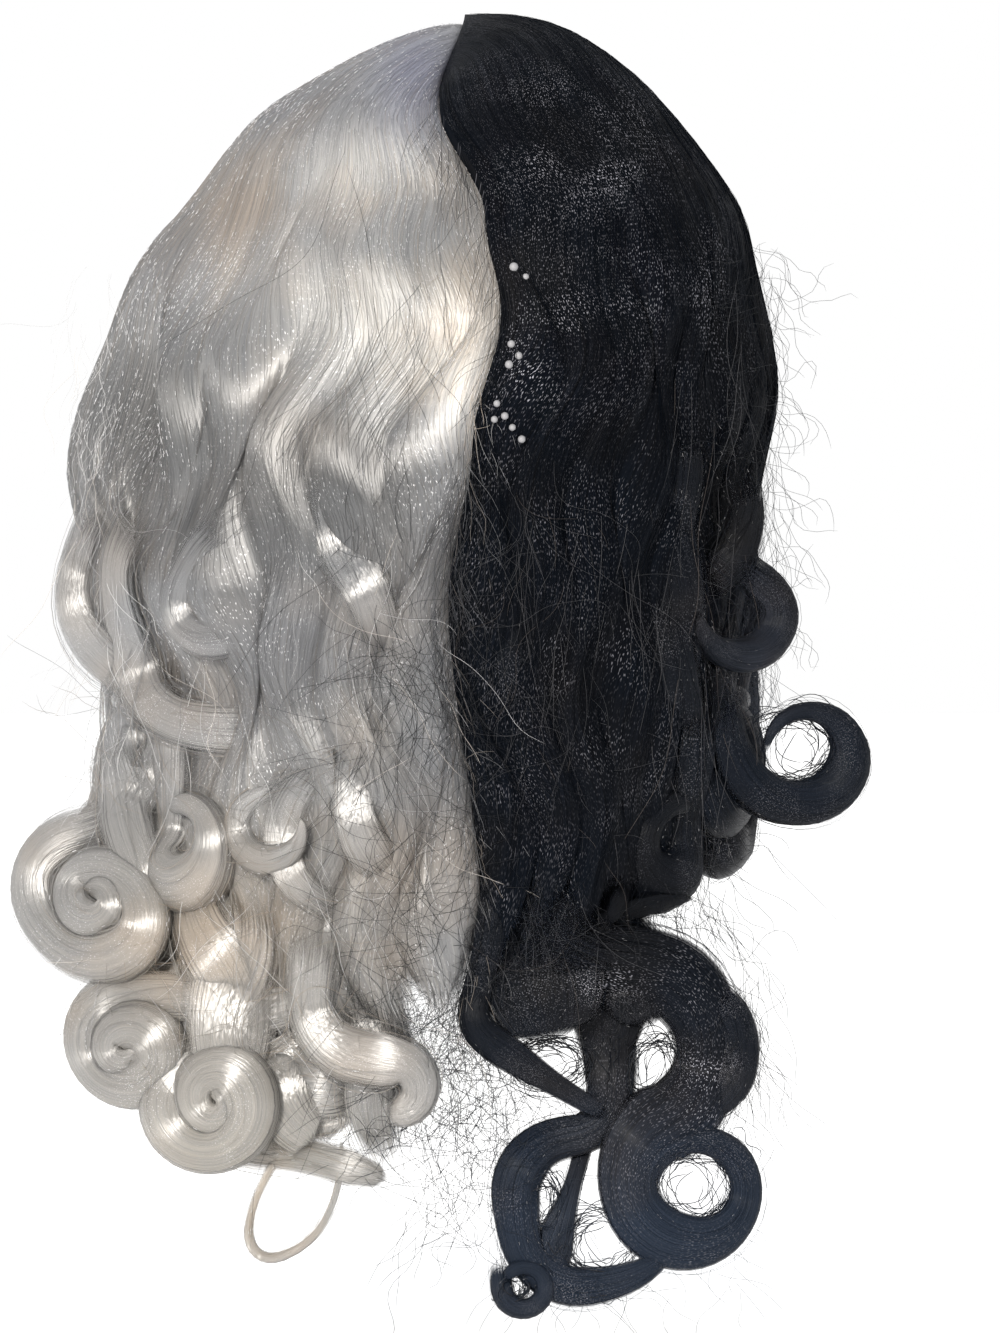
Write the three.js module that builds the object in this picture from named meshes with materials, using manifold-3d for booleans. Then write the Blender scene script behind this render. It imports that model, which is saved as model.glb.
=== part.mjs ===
// Curly two-tone costume wig, held as a head holds it. Millimetres, +Z up.
// The origin is the middle of the head at its widest girth, where the cap grips.
// -Y is the back of the wig, +Y the open face side, -X the silver half and +X the black half.
import * as THREE from "three";
import { mergeVertices } from "three/addons/utils/BufferGeometryUtils.js";
import Module from "manifold-3d";

const { degToRad, lerp, smoothstep, clamp } = THREE.MathUtils;
const wasm = await Module();
wasm.setup();

// Head and cap: an adult head of 560 mm girth, and a stretch net cap drawn over it.
const HEAD = { halfBreadth: 77, halfLength: 97, crown: 98, belowGirth: 140 };
const CAP_WALL = 2;
const HAIR_TO_CAP = 0.8;

// Edge of the cap, by the angle from the back of the head to the forehead.
const CAP_EDGE = [
  { angle: 0, z: -62 },
  { angle: 45, z: -52 },
  { angle: 80, z: -10 },
  { angle: 108, z: -24 },
  { angle: 135, z: 38 },
  { angle: 180, z: 70 },
];
const CAP_STEPS = { around: 32, down: 7 };

// The parting runs over the crown, from behind its top to the front hairline.
const PARTING = { reach: 108, top: 114.5, backAngle: -40, frontAngle: 55 };
const FRONT_EDGE_ANGLE = 128;

// Outer form of each half below the crown: half width, and reach to the back and to the front.
const SILVER_FORM = [
  { z: -190, half: 96, back: 98, front: 84 },
  { z: -150, half: 103, back: 104, front: 86 },
  { z: -100, half: 98, back: 110, front: 88 },
  { z: -60, half: 110, back: 118, front: 92 },
  { z: -25, half: 113, back: 122, front: 95 },
];
const BLACK_FORM = [
  { z: -190, half: 78, back: 98, front: 84 },
  { z: -150, half: 84, back: 104, front: 86 },
  { z: -110, half: 92, back: 110, front: 88 },
  { z: -45, half: 96, back: 119, front: 92 },
  { z: 0, half: 103, back: 123, front: 96 },
];

// Lower edge of the combed mass, from the back seam (0) round to the front edge (1).
const SILVER_HEM = [
  { along: 0, z: -196 },
  { along: 0.3, z: -196 },
  { along: 0.55, z: -164 },
  { along: 1, z: -140 },
];
const BLACK_HEM = [
  { along: 0, z: -182 },
  { along: 0.14, z: -164 },
  { along: 0.4, z: -146 },
  { along: 1, z: -138 },
];

// Seam where the two colours meet on the back: how far it wanders to the black side.
const SEAM = [
  { z: -290, x: 6 },
  { z: -190, x: 9 },
  { z: -150, x: 12 },
  { z: -65, x: 3 },
  { z: -20, x: 10 },
  { z: 20, x: 19 },
  { z: 50, x: 14 },
  { z: 83, x: 0 },
  { z: 113, x: 7 },
  { z: 130, x: 7 },
];
const SEAM_GAP = 0.2;
const SEAM_STEP = 12;

const HALVES = {
  silver: { side: -1, form: SILVER_FORM, hem: SILVER_HEM, conical: 1.24, girthZ: -25 },
  black: { side: 1, form: BLACK_FORM, hem: BLACK_HEM, conical: 0.8, girthZ: 0 },
};

// The combed mass: the share of its length on the crown, its thickness where it hangs clear of the
// head, the heights between which it leaves the head, and how it meets the seam.
const MASS = { crownShare: 0.55, hangThick: 17, leastThick: 4, leavesHead: -20, clearOfHead: -60 };
const BESIDE_SEAM = { overlap: 5, overlapAlong: 0.1, wanderAlong: 0.5 };
// Shallow hanks that rib the mass and notch its hem.
const HANKS = { count: 7, depth: 2.4, hem: 5 };
const MASS_STEPS = { across: 21, down: 13 };

// Locks that show from behind. Each leaves the mass at (x, z) with a heading in degrees from +X,
// then follows its bends: a radius and a sweep, to the left if positive. Lift moves it out of the mass.
const SILVER_LOCKS = [
  { x: -103, z: -34, heading: -130, width: 15, thick: 12, lift: 0, bends: [[34, 75], [80, 25]] },
  { x: -88, z: -34, heading: -125, width: 16, thick: 9, lift: 2, bends: [[50, 70], [26, 50], [90, 12]] },
  { x: -53, z: -58, heading: -110, width: 12, thick: 9, lift: 2, bends: [[22, -70], [9.5, -290]] },
  { x: -91, z: -117, heading: -115, width: 17, thick: 22, lift: 0,
    bends: [[30, -50], [19.5, 190], [12, 170], [6, 120]] },
  { x: -97, z: -104, heading: -95, width: 20, thick: 12, lift: 2, bends: [[60, 35], [30, -60]] },
  { x: -68, z: -184, heading: 165, width: 17, thick: 22, lift: -4,
    bends: [[50, 35], [11.5, 190], [7, 160]] },
  { x: -60, z: -198, heading: 198, width: 17, thick: 22, lift: -2,
    bends: [[90, 11], [11.5, 280], [5, 160]] },
  { x: -36, z: -160, heading: -100, width: 17, thick: 16, lift: 0,
    bends: [[200, 6], [18, 79], [90, 8], [7, -190]] },
  { x: -46, z: -231, heading: -2, width: 10, thick: 12, lift: -12, bends: [[200, -11]] },
  { x: -50, z: -226, heading: -118, width: 3, thick: 2.6, lift: -12,
    bends: [[120, 10], [30, 18], [7, 108], [26, 50], [40, 32]] },
  { x: -34, z: -113, heading: -150, width: 11, thick: 9, lift: 2, bends: [[24, 130], [30, 12]] },
  { x: -18, z: -108, heading: -110, width: 13, thick: 9, lift: 2, bends: [[45, 50]] },
  { x: -46, z: -119, heading: 195, width: 8, thick: 8, lift: 2, bends: [[40, 15], [10, 260]] },
  { x: -34, z: -28, heading: -85, width: 14, thick: 9, lift: 1, bends: [[60, 30], [50, -40]] },
  { x: -60, z: -150, heading: -76, width: 20, thick: 16, lift: -2, bends: [[120, -16], [120, 16]] },
  { x: -76, z: -140, heading: -94, width: 20, thick: 16, lift: -3, bends: [[90, 26], [90, -26]] },
  { x: -28, z: -170, heading: -60, width: 16, thick: 14, lift: -8, bends: [[60, -36], [60, 30]] },
  { x: -60, z: -190, heading: -66, width: 26, thick: 20, lift: -10, bends: [[30, 66], [60, 14]] },
];
const BLACK_LOCKS = [
  { x: 24, z: -138, heading: -95, width: 16, thick: 13, lift: 2, bends: [[250, -12], [10, 75], [300, 6]] },
  { x: 54, z: -169, heading: -92, width: 14, thick: 16, lift: -6,
    bends: [[400, -6], [12, -70], [90, -3], [15, 84], [80, -22], [6, 320]] },
  { x: 46, z: -150, heading: -70, width: 21, thick: 20, lift: 0,
    bends: [[40, 40], [300, 2.5], [26, -130], [90, 3], [17.5, 238], [15, 105]] },
  { x: 54, z: -150, heading: -98, width: 16, thick: 14, lift: -14,
    bends: [[60, 44], [26, -100], [40, -20]] },
  { x: 47, z: -212, heading: -104, width: 13, thick: 16, lift: -11,
    bends: [[600, 4], [15, 186], [12.5, 105]] },
  { x: 44, z: -163, heading: 32, width: 6, thick: 6, lift: -4, bends: [[60, -28], [100, -4]] },
  { x: 62, z: -143, heading: -130, width: 7, thick: 6, lift: -2, bends: [[200, 7]] },
  { x: 90, z: -28, heading: -70, width: 17, thick: 14, lift: 0, bends: [[30, -72]] },
  { x: 88, z: -50, heading: -48, width: 13, thick: 16, lift: 0, bends: [[200, 4], [12.5, -225]] },
  { x: 84, z: -84, heading: -80, width: 19, thick: 18, lift: 0, bends: [[300, 6], [15.5, 150], [13, 110]] },
  { x: 30, z: 0, heading: -88, width: 20, thick: 10, lift: 0,
    bends: [[110, -22], [110, 44], [110, -40], [110, 24]] },
  { x: 56, z: 10, heading: -88, width: 20, thick: 10, lift: 0,
    bends: [[120, 20], [110, -44], [110, 40], [110, -14]] },
  { x: 74, z: 0, heading: -84, width: 18, thick: 10, lift: 0, bends: [[120, -20], [110, 40], [110, -14]] },
];
// Locks that hang beside the face and round the sides, turned from the back about the head.
const SIDE_LOCKS = [
  { turn: 58, z: -66, swing: 1, length: 54, curl: 13 },
  { turn: 76, z: -52, swing: -1, length: 62, curl: 13 },
  { turn: 94, z: -44, swing: 1, length: 70, curl: 14 },
  { turn: 111, z: -40, swing: -1, length: 60, curl: 12 },
  { turn: 125, z: -4, swing: 1, length: 84, curl: 13 },
];
const SIDE_LOCK = { width: 21, thick: 18, wave: 34, lastWave: 0.8, curlSweep: 300 };
// Every lock starts sunk in the mass, rises clear of it and is drawn out to its tip.
const LOCK = { sink: 1.5, rise: 4, tipShare: 0.3, tipFrom: 0.62 };
const LOCK_STEPS = { sides: 6, angle: 45, length: 28 };
// Where the mass ends the locks hang freely and spread on a wider round than the mass.
const FREE_HANG = { from: -140, to: -190, half: 140 };
// At the edge of the view a lock keeps this share of the way round, and leans outwards by less.
const ROUND_THE_EDGE = { most: 0.95, lean: 0.55 };
// Vertices closer than this are one, and a cutting plate reaches this far.
const WELD = 1e-3;
const PLATE_REACH = 200;

const FINISH = {
  cap: { color: 0x24242a, roughness: 0.9, metalness: 0 },
  silver: { color: 0xa9a59d, roughness: 0.4, metalness: 0 },
  black: { color: 0x14171d, roughness: 0.45, metalness: 0 },
};

// Value of a named column at a place along a table, eased between its rows.
function readTable(table, key, at, column) {
  const last = table.length - 1;
  const next = clamp(table.findIndex((row) => row[key] >= at), 1, last);
  const above = at > table[last][key] ? last : next;
  const [low, high] = [table[above - 1], table[above]];
  return lerp(low[column], high[column], smoothstep(at, low[key], high[key]));
}

const formAt = (half, z) => ({
  half: readTable(half.form, "z", z, "half"),
  back: readTable(half.form, "z", z, "back"),
  front: readTable(half.form, "z", z, "front"),
});

// Share of the way out from the head's middle to the head's surface, grown by an offset.
function headShare(point, offset) {
  const tall = point.z > 0 ? HEAD.crown : HEAD.belowGirth;
  const across = point.x / (HEAD.halfBreadth + offset);
  const along = point.y / (HEAD.halfLength + offset);
  const up = point.z / (tall + offset);
  return 1 / Math.hypot(across, along, up);
}

// The cap: a turned wall, warped from a round profile to the head and cut to its edge.
function capGeometry() {
  const profile = [];
  for (let i = 0; i <= CAP_STEPS.down; i++) profile.push(new THREE.Vector2(i, CAP_WALL));
  for (let i = CAP_STEPS.down; i >= 0; i--) profile.push(new THREE.Vector2(i, 0));
  const geometry = new THREE.LatheGeometry(profile, CAP_STEPS.around);
  const position = geometry.attributes.position;
  for (let i = 0; i < position.count; i++) {
    const [x, wall, y] = [position.getX(i), position.getY(i), position.getZ(i)];
    const down = Math.hypot(x, y) / CAP_STEPS.down;
    const angle = Math.atan2(x, -y);
    const edgeZ = readTable(CAP_EDGE, "angle", THREE.MathUtils.radToDeg(Math.abs(angle)), "z");
    const tall = edgeZ > 0 ? HEAD.crown : HEAD.belowGirth;
    const polar = down * Math.acos(edgeZ / tall);
    const ray = new THREE.Vector3(
      HEAD.halfBreadth * Math.sin(polar) * Math.sin(angle),
      -HEAD.halfLength * Math.sin(polar) * Math.cos(angle),
      (polar < Math.PI / 2 ? HEAD.crown : HEAD.belowGirth) * Math.cos(polar),
    );
    ray.multiplyScalar(headShare(ray, wall));
    position.setXYZ(i, ray.x, ray.y, ray.z);
  }
  return geometry;
}

// A point of the combed mass: along the parting from back (0) to front (1), down the hair from its
// root (0) to the hem (1), and through its depth from the cap side (0) to the outside (1).
function massPoint(half, along, down, through) {
  const turn = along * degToRad(FRONT_EDGE_ANGLE);
  const tilt = degToRad(lerp(PARTING.backAngle, PARTING.frontAngle, along));
  const root = new THREE.Vector3(0, PARTING.reach * Math.sin(tilt), PARTING.top * Math.cos(tilt));
  const ridge = Math.cos(2 * Math.PI * HANKS.count * along);
  const hemZ = readTable(half.hem, "along", along, "z") - HANKS.hem * ridge;
  const arc = (Math.min(down / MASS.crownShare, 1) * Math.PI) / 2;
  const hang = Math.max((down - MASS.crownShare) / (1 - MASS.crownShare), 0);
  const outer = new THREE.Vector3();
  outer.z = lerp(half.girthZ + (root.z - half.girthZ) * Math.cos(arc), hemZ, hang);
  const form = formAt(half, Math.min(outer.z, half.girthZ));
  const spread = Math.sin(arc) ** half.conical;
  const reach = Math.cos(turn) > 0 ? form.back : form.front;
  outer.x = half.side * form.half * Math.sin(turn) * spread;
  outer.y = lerp(root.y, -reach * Math.cos(turn), Math.sin(arc));
  const hank = ridge * HANKS.depth * spread;
  outer.x *= 1 + hank / form.half;
  outer.y *= 1 + hank / form.back;
  const wander = 1 - spread * smoothstep(along, 0, BESIDE_SEAM.wanderAlong);
  const overlap = BESIDE_SEAM.overlap * (1 - spread * smoothstep(along, 0, BESIDE_SEAM.overlapAlong));
  outer.x += readTable(SEAM, "z", outer.z, "x") * wander - half.side * overlap;
  const capShare = headShare(outer, CAP_WALL + HAIR_TO_CAP);
  const least = MASS.leastThick / outer.length();
  if (capShare + least > 1) outer.multiplyScalar(capShare + least);
  const inCap = outer.clone().multiplyScalar(headShare(outer, 0));
  const inner = outer.clone();
  const hangShare = 1 - MASS.hangThick / Math.hypot(outer.x, outer.y);
  inner.multiply(new THREE.Vector3(hangShare, hangShare, 1));
  inner.lerp(inCap, smoothstep(outer.z, MASS.clearOfHead, MASS.leavesHead));
  return inner.lerp(outer, through);
}

function massGeometry(half) {
  const geometry = new THREE.BoxGeometry(1, 1, 1, MASS_STEPS.across, MASS_STEPS.down, 1);
  const position = geometry.attributes.position;
  for (let i = 0; i < position.count; i++) {
    const along = position.getX(i) + 0.5;
    const down = 0.5 - position.getY(i);
    const made = massPoint(half, along, down, position.getZ(i) + 0.5);
    position.setXYZ(i, made.x, made.y, made.z);
  }
  return geometry;
}

// Stations along a lock's bends, in the plane seen from behind: place, heading and share of length.
function lockStations({ x, z, heading, bends }) {
  const stations = [];
  let [px, pz, turn, run] = [x, z, degToRad(heading), 0];
  for (const [radius, sweep] of bends) {
    const angle = degToRad(sweep);
    const hand = Math.sign(angle);
    const arcLength = Math.abs(angle) * radius;
    const steps = Math.max(
      Math.ceil(Math.abs(sweep) / LOCK_STEPS.angle),
      Math.ceil(arcLength / LOCK_STEPS.length),
    );
    const centre = { x: px - hand * radius * Math.sin(turn), z: pz + hand * radius * Math.cos(turn) };
    for (let i = stations.length ? 1 : 0; i <= steps; i++) {
      const at = turn + (angle * i) / steps;
      stations.push({
        x: centre.x + hand * radius * Math.sin(at),
        z: centre.z - hand * radius * Math.cos(at),
        heading: at,
        run: run + (arcLength * i) / steps,
      });
    }
    run += arcLength;
    turn += angle;
    px = stations.at(-1).x;
    pz = stations.at(-1).z;
  }
  return stations.map((station) => ({ ...station, share: station.run / run }));
}

// A place on the outside of a half as seen from behind, lifted along its outward normal, then turned
// about the head and fitted to the form's reach there.
function placeOnForm(half, x, z, lift, turn) {
  const form = formAt(half, clamp(z, FREE_HANG.to, half.girthZ));
  const level = clamp((z - half.girthZ) / (PARTING.top - half.girthZ), 0, 1);
  const dome = Math.sqrt(1 - level * level);
  const free = 1 - smoothstep(z, FREE_HANG.to, FREE_HANG.from);
  const wide = Math.max(lerp(form.half, FREE_HANG.half, free) * dome, 1);
  const deep = Math.max(form.back * dome, 1);
  const across = clamp(x / wide, -ROUND_THE_EDGE.most, ROUND_THE_EDGE.most);
  const place = new THREE.Vector3(x, -deep * Math.sqrt(1 - across * across), z);
  const lean = across * ROUND_THE_EDGE.lean;
  const normal = new THREE.Vector3(lean / wide, -Math.sqrt(1 - lean * lean) / deep, 0).normalize();
  place.addScaledVector(normal, lift);
  if (!turn) return { place, normal };
  const angle = half.side * degToRad(turn);
  const reach = Math.cos(angle) > 0 ? form.back : form.front;
  const fit = 1 / Math.hypot(Math.sin(angle) / form.half, Math.cos(angle) / reach) / form.back;
  const axis = new THREE.Vector3(0, 0, 1);
  place.multiply(new THREE.Vector3(fit, fit, 1)).applyAxisAngle(axis, angle);
  return { place, normal: normal.applyAxisAngle(axis, angle) };
}

// A lock: a closed cylinder bent along its stations, flat on the hair and drawn out to a tip.
function lockGeometry(half, lock) {
  const stations = lockStations(lock);
  const steps = stations.length - 1;
  const geometry = new THREE.CylinderGeometry(1, 1, 1, LOCK_STEPS.sides, steps);
  const position = geometry.attributes.position;
  for (let i = 0; i < position.count; i++) {
    const station = stations[Math.round((0.5 - position.getY(i)) * steps)];
    const lift = lock.lift + lerp(-LOCK.sink, LOCK.rise, station.share);
    const { place, normal } = placeOnForm(half, station.x, station.z, lift, lock.turn);
    const ahead = placeOnForm(
      half,
      station.x + Math.cos(station.heading),
      station.z + Math.sin(station.heading),
      lift,
      lock.turn,
    ).place.sub(place);
    const across = new THREE.Vector3().crossVectors(ahead, normal).normalize();
    const slim = lerp(1, LOCK.tipShare, smoothstep(station.share, LOCK.tipFrom, 1));
    place.addScaledVector(across, (position.getX(i) * lock.width * slim) / 2);
    place.addScaledVector(normal, (position.getZ(i) * lock.thick * slim) / 2);
    position.setXYZ(i, place.x, place.y, place.z);
  }
  return geometry;
}

// A side lock falls in a wave and ends in a ring.
function sideLock(half, { turn, z, swing, length, curl }) {
  const sweep = swing * half.side * THREE.MathUtils.radToDeg(length / 3 / SIDE_LOCK.wave);
  return {
    x: 0,
    z,
    turn,
    heading: -90 - sweep / 2,
    width: SIDE_LOCK.width,
    thick: SIDE_LOCK.thick,
    lift: 0,
    bends: [
      [SIDE_LOCK.wave, sweep],
      [SIDE_LOCK.wave, -sweep],
      [SIDE_LOCK.wave, sweep * SIDE_LOCK.lastWave],
      [curl, SIDE_LOCK.curlSweep * Math.sign(sweep)],
    ],
  };
}

function solidOf(geometry) {
  geometry.deleteAttribute("normal");
  geometry.deleteAttribute("uv");
  const merged = mergeVertices(geometry, WELD);
  const solid = new wasm.Manifold(
    new wasm.Mesh({
      numProp: 3,
      vertProperties: merged.attributes.position.array,
      triVerts: new Uint32Array(merged.index.array),
    }),
  );
  return solid.volume() < 0 ? solidOf(turnedInsideOut(merged)) : solid;
}

function turnedInsideOut(geometry) {
  const turned = geometry.clone();
  const index = turned.index;
  for (let i = 0; i < index.count; i += 3) {
    const [second, third] = [index.getX(i + 1), index.getX(i + 2)];
    index.setX(i + 1, third);
    index.setX(i + 2, second);
  }
  return turned;
}

function geometryOf(solid) {
  const mesh = solid.getMesh();
  const geometry = new THREE.BufferGeometry();
  geometry.setAttribute("position", new THREE.BufferAttribute(mesh.vertProperties, mesh.numProp));
  geometry.setIndex(new THREE.BufferAttribute(mesh.triVerts, 1));
  geometry.computeVertexNormals();
  return geometry;
}

// Everything on one half's side of the seam, as a thick plate standing along the seam's line.
function sideOfSeam(half) {
  const far = PLATE_REACH;
  const [bottom, top] = [SEAM[0].z, SEAM.at(-1).z];
  const steps = Math.round((top - bottom) / SEAM_STEP);
  const shape = new THREE.Shape();
  shape.moveTo(half.side * far, top);
  shape.lineTo(half.side * far, bottom);
  for (let i = 0; i <= steps; i++) {
    const z = lerp(bottom, top, i / steps);
    shape.lineTo(readTable(SEAM, "z", z, "x") + half.side * SEAM_GAP, z);
  }
  const plate = new THREE.ExtrudeGeometry(shape, { depth: 2 * far, bevelEnabled: false });
  plate.translate(0, 0, -far);
  plate.rotateX(Math.PI / 2);
  return solidOf(plate);
}

// The head and its cap as one block with a little room, which the hair is kept clear of.
function headRoom() {
  const block = new THREE.SphereGeometry(1, CAP_STEPS.around, CAP_STEPS.around / 2);
  block.rotateX(Math.PI / 2);
  const position = block.attributes.position;
  for (let i = 0; i < position.count; i++) {
    const ray = new THREE.Vector3().fromBufferAttribute(position, i);
    ray.multiply(new THREE.Vector3(HEAD.halfBreadth, HEAD.halfLength, HEAD.crown));
    if (ray.z < 0) ray.z *= HEAD.belowGirth / HEAD.crown;
    ray.multiplyScalar(headShare(ray, CAP_WALL + HAIR_TO_CAP));
    position.setXYZ(i, ray.x, ray.y, ray.z);
  }
  return solidOf(block);
}

// The outer skin alone, so that pockets sealed between crossing locks are left filled.
function outerSkin(solid) {
  return solid.decompose().reduce((best, skin) => (skin.volume() > best.volume() ? skin : best));
}

function hairGeometry(half, locks) {
  const hanging = SIDE_LOCKS.map((row) => sideLock(half, row));
  const pieces = [...locks, ...hanging].map((lock) => solidOf(lockGeometry(half, lock)));
  const joined = pieces.reduce((sum, piece) => sum.add(piece), solidOf(massGeometry(half)));
  return geometryOf(outerSkin(joined.intersect(sideOfSeam(half)).subtract(headRoom())));
}

function named(name, geometry, finish) {
  const mesh = new THREE.Mesh(geometry, new THREE.MeshStandardMaterial(finish));
  mesh.name = name;
  return mesh;
}

const wig = new THREE.Group();
wig.name = "curly_wig";
wig.add(named("wig_cap", geometryOf(solidOf(capGeometry())), FINISH.cap));
wig.add(named("silver_hair", hairGeometry(HALVES.silver, SILVER_LOCKS), FINISH.silver));
wig.add(named("black_hair", hairGeometry(HALVES.black, BLACK_LOCKS), FINISH.black));

export default wig;
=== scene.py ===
"""A curly two-tone costume wig, dressed in fibre over its solids: combed crown, ring curls, loose strands."""
import math

import bmesh
import bpy
import numpy as np
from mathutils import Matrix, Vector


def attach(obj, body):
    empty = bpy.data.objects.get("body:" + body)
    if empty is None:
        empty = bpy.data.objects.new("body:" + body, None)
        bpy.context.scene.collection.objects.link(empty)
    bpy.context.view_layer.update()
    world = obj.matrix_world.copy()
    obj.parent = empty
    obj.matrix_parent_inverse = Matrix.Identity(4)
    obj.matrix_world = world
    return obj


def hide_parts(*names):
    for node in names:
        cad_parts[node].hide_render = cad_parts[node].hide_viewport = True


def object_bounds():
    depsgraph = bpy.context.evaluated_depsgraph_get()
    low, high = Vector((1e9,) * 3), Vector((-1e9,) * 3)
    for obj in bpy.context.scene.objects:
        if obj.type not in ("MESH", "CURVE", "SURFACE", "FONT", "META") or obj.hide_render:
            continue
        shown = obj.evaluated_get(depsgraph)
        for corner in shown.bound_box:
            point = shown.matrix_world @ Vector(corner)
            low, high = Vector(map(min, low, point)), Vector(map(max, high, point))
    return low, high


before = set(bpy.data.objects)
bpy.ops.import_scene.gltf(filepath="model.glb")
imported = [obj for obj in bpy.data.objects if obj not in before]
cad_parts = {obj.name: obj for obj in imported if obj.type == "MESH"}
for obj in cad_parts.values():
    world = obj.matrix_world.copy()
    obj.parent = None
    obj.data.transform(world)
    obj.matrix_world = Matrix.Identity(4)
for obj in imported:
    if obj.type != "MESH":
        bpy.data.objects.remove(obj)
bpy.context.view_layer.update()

# Everything below is in millimetres, and becomes metres where a mesh is filled.
MM = 0.001


def table(columns, *rows):
    """Rows of a table under the names of its columns."""
    return [dict(zip(columns.split(), row)) for row in rows]


def lock_row(x, z, heading, width, thick, lift, *bends, **more):
    """A row for one lock, with more where it merges, turns or ends in its own way."""
    row = {"x": x, "z": z, "heading": heading, "width": width, "thick": thick, "lift": lift, "bends": bends}
    return {**row, **more}


# The head that fills the cap, and the parting over its crown.
HEAD = {"half_breadth": 77.0, "half_length": 97.0, "crown": 98.0, "below_girth": 140.0}
HAIR_OFF_HEAD = 3.2
PARTING = {"reach": 108.0, "top": 113.4, "back_angle": -40.0, "front_angle": 55.0}
FRONT_EDGE_ANGLE = 128.0

# Outer form of each half below the crown, and the lower edge of its combed mass.
SILVER_FORM = {
    "z": (-190, -150, -100, -60, -25),
    "half": (96, 103, 98, 110, 112),
    "back": (98, 104, 110, 118, 121),
    "front": (84, 86, 88, 92, 95),
}
BLACK_FORM = {
    "z": (-190, -150, -110, -45, 0),
    "half": (78, 84, 92, 96, 102),
    "back": (98, 104, 110, 119, 122),
    "front": (84, 86, 88, 92, 96),
}
SILVER_HEM = {"along": (0, 0.12, 0.3, 0.55, 1), "z": (-190, -196, -196, -164, -140)}
BLACK_HEM = {"along": (0, 0.14, 0.4, 1), "z": (-182, -164, -146, -138)}

# The seam between the colours, as it wanders across the back.
SEAM = {
    "z": (-290, -190, -150, -65, -20, 20, 50, 83, 113, 130),
    "x": (6, 9, 12, 3, 10, 19, 14, 0, 7, 7),
}

# The combed mass: the share of its length on the crown, how thick it hangs and how thin it may get, the
# heights where it leaves the head and hangs clear of it, and how far along it the seam is followed.
MASS = {
    "crown_share": 0.55, "hang_thick": 16.0, "least_thick": 3.0, "leaves_head": -20.0, "clear_of_head": -60.0,
    "seam_share": 0.5,
}
# The mass parts into uneven locks below the crown, and their ends drop below its hem.
PARTED = {
    "count": 12, "from": 0.3, "full": 0.62, "depth": 4.2, "crest": 0.7, "middle": 0.6, "drop": 0.03,
    "drop_from": 0.8, "uneven": 0.35, "uneven_along": 17.0, "uneven_down": 6.0,
}
# The locks swing to the side and in and out in slow waves, which fall out of step along the mass.
WAVES = {
    "from": 0.12, "full": 0.62, "per_length": 5.4, "aside": 0.022, "depth": 1.6, "edge": 0.06, "drift": 0.35,
}
WAVE_DRIFT = (
    {"much": 0.9, "often": 10.7, "start": 1.0},
    {"much": 0.5, "often": 25.8, "start": 2.0},
    {"much": 0.25, "often": 61.0, "start": 0.0},
)
# Shallow swells all over the mass: two sets, each with its count along the mass and down it.
SWELLS = {"depth": 1.0, "from": 0.08, "full": 0.3, "first": (4.3, 1.7), "second": (-1.9, 4.1)}
# The puff of a crown, full at the parting and gone further down.
PUFF = {"full": 0.08, "gone": 0.5}
# Notches of the hem: how often along it, and how deep.
RAGGED = ((44.0, 2.0), (97.0, 1.4), (211.0, 0.8))
# The most that a lock turns between two stations, in degrees.
CROWD_ANGLE = 24.0
# Below the mass, locks hang free and follow the head's curve less.
FREE_HANG = {"from": -140.0, "to": -190.0, "half": 140.0}
# How what lies near a half's outer edge rounds it, and how far its outward side leans with it.
ROUND_THE_EDGE = {"most": 0.95, "lean": 0.55, "on_mass": 0.97, "firm": 6.0, "top": 0.999}

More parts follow.
